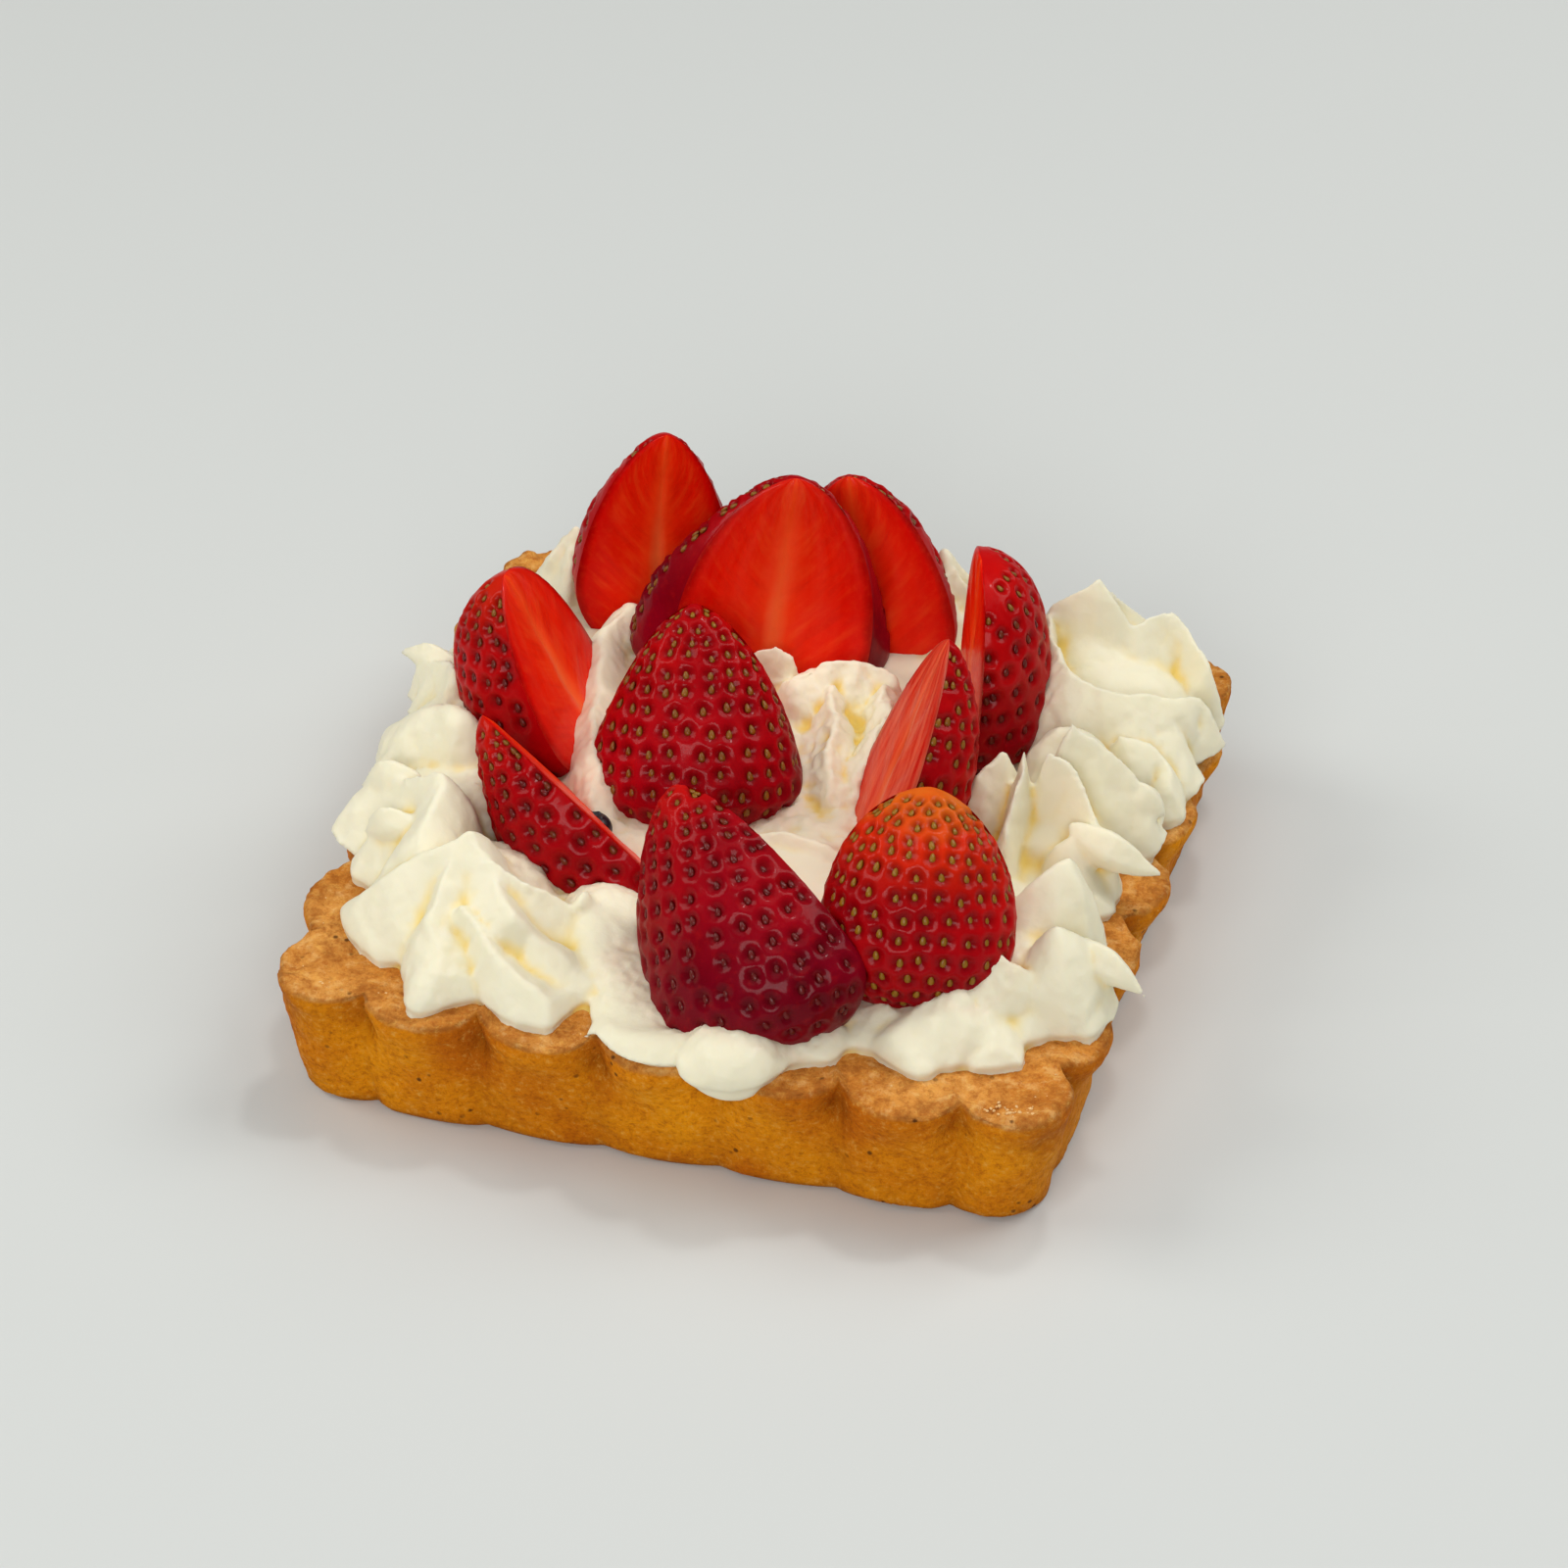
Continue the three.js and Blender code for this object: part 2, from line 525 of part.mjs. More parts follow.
function berryFrame(b) {
  const base = V(b.base);
  const tip = V(b.tip);
  const axis = tip.clone().sub(base);
  const length = axis.length();
  axis.normalize();
  const turn = (b.face * Math.PI) / 180;
  const face = new THREE.Vector3(Math.cos(turn), Math.sin(turn), 0);
  face.addScaledVector(axis, -face.dot(axis)).normalize();
  const across = face.clone().cross(axis);
  return { base, axis, face, across, length };
}

function berrySolid(b, grow) {
  const f = berryFrame(b);
  const radius = b.width / 2;
  const profile = [new THREE.Vector2(0, -grow)];
  for (let k = 0; k < BERRY_RINGS; k += 1) {
    const t = 1 - Math.pow(1 - k / BERRY_RINGS, 1.35);
    const y = t * (f.length + 2 * grow) - grow;
    profile.push(new THREE.Vector2(radius * outline(t, b.form) + grow, y));
  }
  profile.push(new THREE.Vector2(0, f.length + grow));
  const g = new THREE.LatheGeometry(profile, BERRY_SEGMENTS);
  const p = g.getAttribute('position');
  for (let k = 0; k < p.count; k += 1) {
    const x = p.getX(k);
    const y = p.getY(k);
    const z = p.getZ(k);
    // fuller on one side than the other, as a grown berry is
    const r = Math.hypot(x, z);
    const swell = r > 1e-3 ? 1 + 0.025 * Math.sin(3 * Math.atan2(z, x) + b.width + 0.15 * y) : 1;
    const v = f.base.clone()
      .addScaledVector(f.across, x * swell)
      .addScaledVector(f.axis, y)
      .addScaledVector(f.face, -z * b.depth * swell);
    p.setXYZ(k, v.x, v.y, v.z);
  }
  let solid = toSolid(g);
  // the cut plane runs from past the middle at the base to the middle at the tip
  const slope = (b.cut * radius) / f.length;
  const out = f.face.clone().addScaledVector(f.axis, slope).normalize();
  const along = f.across.clone().cross(out).negate();
  const basis = new THREE.Matrix4().makeBasis(f.across, along, out.clone().negate());
  const cut = f.base.clone()
    .addScaledVector(f.axis, f.length)
    .addScaledVector(out, 60 + grow);
  solid = solid.subtract(box(120, 120, 120, cut, basis));
  const floor = BERRY_FLOOR - grow;
  return solid.subtract(box(200, 200, 60, new THREE.Vector3(0, 0, floor - 30)));
}

// Cream
// A fold of cream: a rounded ridge with a raised crest along a curve, full in the
// middle, its far end round or drawn out to a point
function fold(start, middle, end, width, point, thick) {
  const curve = new THREE.QuadraticBezierCurve3(V(start), V(middle), V(end));
  const g = new THREE.SphereGeometry(1, LOBE_SEGMENTS, LOBE_RINGS);
  const p = g.getAttribute('position');
  const up = new THREE.Vector3(0, 0, 1);
  for (let k = 0; k < p.count; k += 1) {
    const polar = Math.acos(clamp(p.getY(k), -1, 1));
    const t = polar / Math.PI;
    const round = Math.hypot(p.getX(k), p.getZ(k));
    const turn = Math.atan2(p.getX(k), p.getZ(k));
    const ends = Math.pow(Math.max(0, Math.sin(polar)), 0.55);
    const drawn = 1 - point * Math.pow(clamp((t - 0.35) / 0.65, 0, 1), 1.2);
    const size = round > 1e-3 ? width * ends * (0.72 + 0.35 * t) * drawn : 0;
    const crest = 1 + CREST * Math.pow(Math.max(0, Math.cos(turn)), 3);
    const tangent = curve.getTangent(t);
    const side = tangent.clone().cross(up).normalize();
    const out = side.clone().cross(tangent).normalize();
    const v = curve.getPoint(t)
      .addScaledVector(out, size * crest * thick * Math.cos(turn))
      .addScaledVector(side, size * 0.85 * Math.sin(turn));
    p.setXYZ(k, v.x, v.y, v.z);
  }
  return toSolid(g);
}

// Height of the ridge along a crest line over a point, or far below where it ends
function ridgeHeight(x, y, crest) {
  const [left, right, blade] = crest.reach;
  const far = Math.max(left, right);
  const { line } = crest;
  if (x < crest.box[0] - far || x > crest.box[1] + far
    || y < crest.box[2] - far || y > crest.box[3] + far) return -99;
  let best = Infinity;
  let lean = 0;
  let top = 0;
  for (let k = 0; k < RIDGE_STEPS; k += 1) {
    const a = line[k];
    const b = line[k + 1];
    const dx = b.x - a.x;
    const dy = b.y - a.y;
    const t = clamp(((x - a.x) * dx + (y - a.y) * dy) / (dx * dx + dy * dy + 1e-9), 0, 1);
    const ox = x - a.x - t * dx;
    const oy = y - a.y - t * dy;
    const d = Math.hypot(ox, oy);
    if (d < best) {
      best = d;
      lean = (ox * dy - oy * dx) / Math.max(d * Math.hypot(dx, dy), 1e-9);
      top = a.z + t * (b.z - a.z);
    }
  }
  const width = 0.5 * (left + right) + 0.5 * (right - left) * lean;
  const foot = line[RIDGE_STEPS];
  const beyond = Math.max(0, (x - foot.x) * crest.out[0] + (y - foot.y) * crest.out[1]);
  const across = Math.sqrt(Math.max(0, best * best - beyond * beyond));
  const u = Math.hypot(across / width, beyond / Math.min(width, RIDGE_END));
  if (u >= 1) return -99;
  const sharp = 0.6 * blade;
  const shape = sharp * Math.pow(1 - u, 1.4) + (1 - sharp) * Math.sqrt(1 - u * u);
  return CREAM_BASE + (top - CREAM_BASE) * shape;
}

// Crest lines of a rosette piped with a star tip: ridges that turn as they rise
function pipedRosette([x, y, height, radius]) {
  const out = [];
  const count = 8;
  for (let k = 0; k < count; k += 1) {
    const a = (2 * Math.PI * (k + 0.15 * Math.sin(2.4 * k + x))) / count;
    const r = radius - 3.2 + 0.7 * Math.sin(1.7 * k + y);
    const mid = 0.62 * r;
    out.push([
      [x, y, height],
      [x + mid * Math.cos(a - 0.35), y + mid * Math.sin(a - 0.35), height - 0.35 * (height - 22)],
      [x + r * Math.cos(a), y + r * Math.sin(a), 22.4], 3.0, 4.6, 0.9]);
  }
  return out;
}

function allCrests() {
  const rows = Object.values(CRESTS).flat();
  for (const r of BACK_ROSETTES) {
    for (const c of pipedRosette(r)) {
      const hidden = r[0] > 30 ? c[2][1] > 42 : r[0] > -30 || r[1] > 20 || c[2][1] > 14;
      if (hidden) rows.push(c);
    }
  }
  return rows.map(([start, middle, end, left, right, blade]) => {
    const curve = new THREE.QuadraticBezierCurve3(V(start), V(middle), V(end));
    const line = curve.getPoints(RIDGE_STEPS);
    const xs = line.map((p) => p.x);
    const ys = line.map((p) => p.y);
    const out = curve.getTangent(1);
    const level = Math.hypot(out.x, out.y);
    return {
      line,
      out: [out.x / level, out.y / level],
      reach: [left, right, blade],
      box: [Math.min(...xs), Math.max(...xs), Math.min(...ys), Math.max(...ys)],
    };
  });
}

// Height of the cream over the crust: bed, mounds and crests, run softly together
function creamHeight(x, y, crests) {
  const add = (h) => (h > 0 ? Math.exp((h - 25) / BLEND) : 0);
  const inside = Math.max(Math.abs(x), Math.abs(y));
  let total = 0;
  if (inside < BED.half + 3) {
    const edge = Math.sqrt(clamp((BED.half + 3 - inside) / 4, 0, 1));
    total += add(CREAM_BASE + (BED.top - CREAM_BASE) * edge);
  }
  const mounds = [...MOUNDS, ...BACK_ROSETTES.map(([mx, my, mz, r]) => [mx, my, mz - 6, 0.8 * r])];
  for (const [mx, my, mz, radius] of mounds) {
    const u = Math.hypot(x - mx, y - my) / radius;
    if (u < 1) total += add(CREAM_BASE + (mz - CREAM_BASE) * Math.sqrt(1 - u * u));
  }
  for (const c of crests) total += add(ridgeHeight(x, y, c));
  return 25 + BLEND * Math.log(Math.max(total, 1e-30));
}

// The cream as one sheet over the crust and a little past its rim
function creamField() {
  const crests = allCrests();
  const n = Math.round((2 * FIELD_REACH) / FIELD_STEP) + 1;
  const pos = [];
  const full = [];
  for (let r = 0; r < n; r += 1) {
    for (let c = 0; c < n; c += 1) {
      const x = -FIELD_REACH + c * FIELD_STEP;
      const y = -FIELD_REACH + r * FIELD_STEP;
      const wx = 0.5 * Math.sin(0.33 * y + 1) + 0.3 * Math.sin(0.71 * y - 0.4 * x);
      const wy = 0.5 * Math.sin(0.36 * x + 2) + 0.3 * Math.sin(0.67 * x + 0.45 * y + 1);
      const d = Math.hypot(x, y) + 1e-6;
      const out = d - rimDistance(x / d, y / d);
      const low = 17.9 + 2.6 * smooth(out, -1.6, 1.2);
      // past the rim the cream rounds off and ends
      const rest = clamp((OVERHANG - out) / 3, 0, 1);
      const height = creamHeight(x + wx, y + wy, crests) - low;
      const top = low + height * Math.sqrt(rest * (2 - rest));
      full.push(top > low + 0.05);
      pos.push([x, y, top > low + 0.05 ? top : low, low]);
    }
  }
  const verts = [];
  const index = [];
  const upper = new Map();
  const lower = new Map();
  const vertex = (k, z, map) => {
    if (!map.has(k)) {
      map.set(k, verts.length / 3);
      verts.push(pos[k][0], pos[k][1], z);
    }
    return map.get(k);
  };
  const tri = (a, b, c) => {
    const t = [a, b, c];
    if (!t.some((k) => full[k])) return;
    index.push(...t.map((k) => vertex(k, pos[k][2], upper)));
    index.push(...[a, c, b].map((k) => vertex(k, pos[k][3], full[k] ? lower : upper)));
  };
  for (let r = 0; r < n - 1; r += 1) {
    for (let c = 0; c < n - 1; c += 1) {
      const k = r * n + c;
      tri(k, k + 1, k + n + 1);
      tri(k, k + n + 1, k + n);
    }
  }
  const g = new THREE.BufferGeometry();
  g.setAttribute('position', new THREE.Float32BufferAttribute(verts, 3));
  g.setIndex(index);
  return g;
}

// Put together
const berries = {};
for (const [name, b] of Object.entries(BERRIES)) berries[name] = berrySolid(b, 0);
for (const [name, others] of Object.entries(TRIMMED_BY)) {
  for (const other of others) {
    berries[name] = berries[name].subtract(berrySolid(BERRIES[other], GAP));
  }
}

// the lips of the rim stay clear of the fruit
const pastry = toSolid(crustGeometry(GAP));
for (const name of Object.keys(berries)) berries[name] = berries[name].subtract(pastry);

function ball(grow) {
  const g = new THREE.SphereGeometry(BLUEBERRY.radius + grow, 16, 10);
  g.rotateX(Math.PI / 2);
  g.translate(...BLUEBERRY.centre);
  return toSolid(g);
}
berries.strawberry_centre = berries.strawberry_centre.subtract(ball(GAP));
berries.strawberry_left_front = berries.strawberry_left_front.subtract(ball(GAP));

let cream = toSolid(creamField());
for (const tip of TIPS) cream = cream.add(fold(...tip));
cream = lighten(cream, CREAM_TRIANGLES, 8);
cream = cream.subtract(pastry);
cream = cream.subtract(box(200, 200, 60, new THREE.Vector3(0, 0, -20)));
for (const b of Object.values(BERRIES)) cream = cream.subtract(berrySolid(b, GAP));
cream = cream.subtract(ball(GAP));

function largest(solid) {
  const pieces = solid.decompose();
  let best = pieces[0];
  for (const p of pieces) if (p.volume() > best.volume()) best = p;
  return best;
}

// Where two folds of the surface touch in one point, each draws back a little
function partTouching(geometry) {
  const p = geometry.getAttribute('position');
  const tri = geometry.getIndex().array;
  const seen = new Map();
  const shared = new Set();
  for (let k = 0; k < p.count; k += 1) {
    const key = [p.getX(k), p.getY(k), p.getZ(k)].map((v) => v.toFixed(3)).join();
    if (seen.has(key)) {
      shared.add(k);
      shared.add(seen.get(key));
    } else seen.set(key, k);
  }
  for (const k of shared) {
    const middle = new THREE.Vector3();
    let count = 0;
    for (let i = 0; i < tri.length; i += 3) {
      const ids = [tri[i], tri[i + 1], tri[i + 2]];
      if (ids.includes(k)) {
        for (const j of ids) {
          if (j !== k) {
            middle.add(new THREE.Vector3().fromBufferAttribute(p, j));
            count += 1;
          }
        }
      }
    }
    middle.divideScalar(count);
    const v = new THREE.Vector3().fromBufferAttribute(p, k).lerp(middle, 0.05);
    p.setXYZ(k, v.x, v.y, v.z);
  }
  return geometry;
}

// the largest piece, without the slivers that cutting leaves
function finished(solid) {
  return partTouching(toGeometry(lighten(largest(solid), 0, SLIVER)));
}

function mesh(name, geometry, color, roughness) {
  const m = new THREE.Mesh(geometry,
    new THREE.MeshStandardMaterial({ color, roughness, metalness: 0 }));
  m.name = name;
  return m;
}

const group = new THREE.Group();
group.add(mesh('crust', toGeometry(toSolid(crustGeometry(0))), 0xc98a3c, 0.8));
group.add(mesh('cream', finished(cream), 0xf0e6c8, 0.45));
for (const [name, solid] of Object.entries(berries)) {
  group.add(mesh(name, finished(solid), 0xa80f14, 0.3));
}
group.add(mesh('blueberry', toGeometry(ball(0)), 0x1e1a2e, 0.4));

export default group;
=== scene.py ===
"""Square strawberry tart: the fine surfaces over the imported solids.

Shapes are worked out in millimetres and scaled to metres when their meshes are made.
"""
import bpy
import bmesh
import random
import numpy as np
from math import cos, exp, hypot, pi, radians, sin, sqrt
from mathutils import Matrix, Vector, noise


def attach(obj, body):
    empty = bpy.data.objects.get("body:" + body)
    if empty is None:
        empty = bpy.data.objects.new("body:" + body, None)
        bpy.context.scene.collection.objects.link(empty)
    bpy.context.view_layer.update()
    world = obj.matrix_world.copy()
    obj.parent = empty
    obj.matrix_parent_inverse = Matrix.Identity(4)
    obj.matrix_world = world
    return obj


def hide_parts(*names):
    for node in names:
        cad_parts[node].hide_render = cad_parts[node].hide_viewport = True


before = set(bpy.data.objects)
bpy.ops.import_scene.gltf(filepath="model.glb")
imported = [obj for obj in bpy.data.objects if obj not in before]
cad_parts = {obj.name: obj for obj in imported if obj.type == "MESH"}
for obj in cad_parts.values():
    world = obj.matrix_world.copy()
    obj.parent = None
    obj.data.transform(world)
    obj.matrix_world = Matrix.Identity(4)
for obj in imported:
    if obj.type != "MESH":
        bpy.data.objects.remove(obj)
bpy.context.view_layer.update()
MM = 0.001


# Helpers
def clamp(v):
    return min(1.0, max(0.0, v))


def smooth(v, lo, hi):
    t = np.clip((np.asarray(v, float) - lo) / (hi - lo), 0.0, 1.0)
    return t * t * (3 - 2 * t)


def grain(points, scale, octaves=3, seed=0.0):
    """Fractal noise, about -1 to 1, at points in millimetres."""
    off = Vector((seed * 7.3, seed * 3.1, seed * 5.7))
    return np.array([
        noise.fractal(Vector(p) * scale + off, 1.0, 2.0, octaves) for p in points])


def put(name, data):
    obj = bpy.data.objects.new(name, data)
    bpy.context.collection.objects.link(obj)
    return obj


def make_object(name, verts_mm, faces, mats, mat_index=None):
    mesh = bpy.data.meshes.new(name)
    mesh.from_pydata([tuple(v) for v in np.asarray(verts_mm) * MM], [], faces)
    for m in mats:
        mesh.materials.append(m)
    if mat_index is not None:
        mesh.polygons.foreach_set("material_index", mat_index)
    mesh.update()
    mesh.shade_smooth()
    obj = put(name, mesh)
    return obj


def attributes(obj, **fields):
    """Gives each point of the mesh named values, which the materials read."""
    for name, values in fields.items():
        a = obj.data.attributes.new(name, "FLOAT", "POINT")
        a.data.foreach_set("value", np.asarray(values, np.float32))


def read_points(mesh, field):
    v = np.empty(len(mesh.vertices) * 3)
    mesh.vertices.foreach_get(field, v)
    return v.reshape(-1, 3)


def write_points(mesh, points_mm):
    mesh.vertices.foreach_set("co", (points_mm * MM).ravel())
    mesh.update()


def weld(obj, dist=1e-6, outward=False):
    """Joins the points that meet at seams and poles."""
    bm = bmesh.new()
    bm.from_mesh(obj.data)
    bmesh.ops.remove_doubles(bm, verts=bm.verts, dist=dist)
    if outward:
        bmesh.ops.recalc_face_normals(bm, faces=bm.faces)
    bm.to_mesh(obj.data)
    bm.free()


def apply_modifiers(obj):
    deps = bpy.context.evaluated_depsgraph_get()
    mesh = bpy.data.meshes.new_from_object(obj.evaluated_get(deps))
    old = obj.data
    obj.modifiers.clear()
    obj.data = mesh
    bpy.data.meshes.remove(old)


def grid_faces(rows, width, first=0, closed=True, flip=False):
    """Quads of a grid of points, a closed tube or an open sheet, from point first on."""
    faces = []
    stride = width if closed else width + 1
    for r in range(rows):
        for k in range(width):
            a = first + r * stride + k
            b = first + r * stride + (k + 1) % stride
            q = (a, b, b + stride, a + stride)
            faces.append(q[::-1] if flip else q)
    return faces


# Camera, from the photo's side and height
CAMERA_RIGHT = Vector((0.96100, 0.27656, 0.0))
CAMERA_UP = Vector((-0.16642, 0.57829, 0.79867))
CAMERA_BACK = Vector((0.22088, -0.76752, 0.60176))
lens = bpy.data.cameras.new("camera")
lens.lens = 135.0
lens.sensor_width = 36.0
camera = put("camera", lens)
pose = Matrix((CAMERA_RIGHT, CAMERA_UP, CAMERA_BACK)).transposed().to_4x4()
pose.translation = Vector((0.17323, -0.59427, 0.49061))
camera.matrix_world = pose
bpy.context.scene.camera = camera
bpy.context.scene.view_settings.view_transform = "Standard"


# Materials
def linear(rgb):
    """Linear colour with alpha, from screen values of 0 to 255."""
    parts = [c / 255 for c in rgb]
    return (*(c / 12.92 if c <= 0.04045 else ((c + 0.055) / 1.055) ** 2.4 for c in parts), 1)


class Nodes:
    """A short way to write node materials."""

    def __init__(self, name):
        self.mat = bpy.data.materials.new(name)
        self.mat.use_nodes = True
        self.tree = self.mat.node_tree
        self.bsdf = self.tree.nodes["Principled BSDF"]

    def add(self, kind, **settings):
        n = self.tree.nodes.new("ShaderNode" + kind)
        for k, v in settings.items():
            setattr(n, k, v)
        return n

    def feed(self, sock, v):
        """Links an output to the socket, or sets a number or colour on it."""
        if hasattr(v, "is_output"):
            self.tree.links.new(v, sock)
        else:
            sock.default_value = linear(v) if sock.type == "RGBA" else v

    def wire(self, node, **values):
        for k, v in values.items():
            self.feed(node.inputs[k.replace("_", " ")], v)
        return node

    def set(self, **values):
        self.wire(self.bsdf, **values)

    def attr(self, name):
        return self.add("Attribute", attribute_name=name).outputs["Fac"]

    def coords(self):
        return self.add("TexCoord").outputs["Object"]

    def vector(self, x, y, z):
        return self.wire(self.add("CombineXYZ"), X=x, Y=y, Z=z).outputs[0]

    def noise(self, vector, scale, detail=3.0, rough=0.55):
        n = self.wire(self.add("TexNoise"), Vector=vector, Scale=scale,
                      Detail=detail, Roughness=rough)
        return n.outputs["Fac"]

    def cells(self, vector, scale):
        n = self.wire(self.add("TexVoronoi"), Vector=vector, Scale=scale)
        return n.outputs["Distance"]

    def ramp(self, value, *stops):
        n = self.add("ValToRGB")
        while len(n.color_ramp.elements) < len(stops):
            n.color_ramp.elements.new(0.5)
        for e, (pos, col) in zip(n.color_ramp.elements, stops):
            e.position = pos
            e.color = linear(col) if isinstance(col, tuple) else (col, col, col, 1)
        self.feed(n.inputs["Fac"], value)
        return n.outputs["Color"]

    def mix(self, fac, a, b):
        n = self.add("Mix", data_type="RGBA")
        for sock, v in ((n.inputs["Factor"], fac), (n.inputs[6], a), (n.inputs[7], b)):
            self.feed(sock, v)
        return n.outputs[2]

    def math(self, op, a, b):
        n = self.add("Math", operation=op)
        self.feed(n.inputs[0], a)
        self.feed(n.inputs[1], b)
        return n.outputs[0]

    def times(self, a, b):
        return self.math("MULTIPLY", a, b)

    def layers(self, col, *coats):
        """Lays colours over col in turn, each as strong as its mask times its share."""
        for mask, share, rgb in coats:
            col = self.mix(self.times(mask, share), col, rgb)
        return col

    def bump(self, height, strength, distance, *below):
        n = self.wire(self.add("Bump"), Strength=strength, Distance=distance,
                      Height=height)
        for normal in below:
            self.feed(n.inputs["Normal"], normal)
        return n.outputs["Normal"]


def crust_material():
    n = Nodes("baked_crust")
    p = n.coords()
    top = n.attr("top")
    broad = n.noise(p, 60)
    wall = n.mix(n.ramp(broad, (0.35, 0), (0.66, 1)), (194, 104, 4), (230, 146, 8))
    band = n.mix(n.ramp(broad, (0.38, 0), (0.62, 1)), (204, 130, 50), (226, 160, 78))
    # toasted in patches on top, on the edge and at the foot; painted shade under the lip, in the
    # notch recesses and pits, and in bands down the wall under the notches
    patch = n.ramp(n.noise(p, 130, 4, 0.6), (0.4, 0), (0.62, 1))
    burnt = n.ramp(n.noise(p, 320, 4, 0.65), (0.38, 0.15), (0.6, 1))
    col = n.layers(
        n.mix(top, wall, band),
        (n.times(patch, top), 0.45, (160, 92, 30)),
        # painted shade under the lip, strongest under the notches
        (n.attr("under"), 0.5, (166, 80, 10)),
        # painted shade in the notch recesses and pits
        (n.attr("hollow"), 0.55, (120, 60, 6)),
        (n.times(n.attr("edge"), burnt), 0.85, (108, 50, 8)),
        # toasted at the foot, and painted shade in bands down the wall under the notches
        (n.attr("foot"), 0.5, (150, 78, 8)))
    # fine crumb: dark and pale grains, coarser ones on top, and a few burnt specks
    fine = n.noise(p, 1000, 4, 0.75)
    rough = n.noise(p, 420, 4, 0.7)
    specks = n.times(n.ramp(n.cells(p, 420), (0.10, 1), (0.18, 0)),
                     n.ramp(n.noise(p, 160, 2), (0.48, 0), (0.6, 1)))
    col = n.layers(
        col,
        (n.ramp(fine, (0.5, 0), (0.66, 1)), 0.52, (154, 72, 8)),
        (n.ramp(fine, (0.3, 1), (0.45, 0)), 0.4, (236, 184, 90)),
        (n.times(n.ramp(rough, (0.5, 0), (0.64, 1)), top), 0.6, (148, 80, 24)),
        (n.times(n.ramp(rough, (0.34, 1), (0.46, 0)), top), 0.4, (236, 190, 120)),
        (specks, 0.8, (64, 32, 10)))
    n.set(Base_Color=col, Roughness=n.ramp(fine, (0.3, 0.6), (0.7, 0.8)),
          Specular_IOR_Level=0.08, Subsurface_Weight=0.05, Subsurface_Scale=0.001,
          Subsurface_Radius=(1.0, 0.45, 0.15))
    pores = n.ramp(n.cells(p, 620), (0.05, 0), (0.32, 1))
    small = n.bump(pores, 0.45, 0.00025, n.bump(fine, 0.7, 0.0003))
    n.set(Normal=n.bump(rough, 0.8, 0.0007, small))
    return n.mat


def cream_material():
    n = Nodes("whipped_cream")
    p = n.coords()
    blot = n.ramp(n.noise(p, 260, 4, 0.6), (0.36, 0.1), (0.66, 1))
    col = n.layers(
        n.mix(n.noise(p, 70), (236, 230, 205), (232, 225, 195)),
        # painted shade: a yellow tint in the hollows between the folds
        (n.attr("hollow"), 0.95, (238, 208, 104)),
        (n.times(n.attr("stain"), blot), 0.26, (234, 186, 164)))
    n.set(Base_Color=col, Roughness=0.45, Specular_IOR_Level=0.22,
          Subsurface_Weight=0.22, Subsurface_Scale=0.0035, Subsurface_Radius=(1.0, 0.75, 0.42))
    fine = n.bump(n.noise(p, 900, 3, 0.6), 0.22, 0.0002)
    n.set(Normal=n.bump(n.noise(p, 300, 3, 0.5), 0.35, 0.0004, fine))
    return n.mat


def skin_material():
    n = Nodes("strawberry_skin")
    p = n.coords()
    tip = n.attr("tip")
    broad = n.ramp(n.noise(p, 90), (0.35, 0), (0.65, 1))
    red = n.mix(broad, (166, 2, 6), (194, 9, 7))
    deep = n.mix(broad, (104, 1, 18), (130, 3, 25))
    col = n.mix(n.attr("dark"), red, deep)
    # an unripe tip is orange, and golden at its end
    col = n.mix(n.ramp(tip, (0.0, 0), (0.5, 1)), col, (212, 42, 10))
    col = n.mix(n.ramp(tip, (0.55, 0), (1.0, 0.85)), col, (216, 112, 26))
    streak = n.noise(p, 700, 3, 0.6)
    col = n.layers(
        col,
        # painted shade in the dimples round the seeds
        (n.attr("pit"), 0.72, (66, 1, 6)),
        (n.ramp(streak, (0.52, 0), (0.75, 1)), 0.12, (214, 30, 16)))
    n.set(Base_Color=col, Roughness=n.ramp(streak, (0.3, 0.3), (0.7, 0.42)),
          Specular_IOR_Level=0.02, Coat_Weight=0.15, Coat_Roughness=0.14,
          Subsurface_Weight=0.1, Subsurface_Scale=0.0015, Subsurface_Radius=(1.0, 0.18, 0.12),
          Normal=n.bump(n.noise(p, 520), 0.3, 0.00025))
    return n.mat


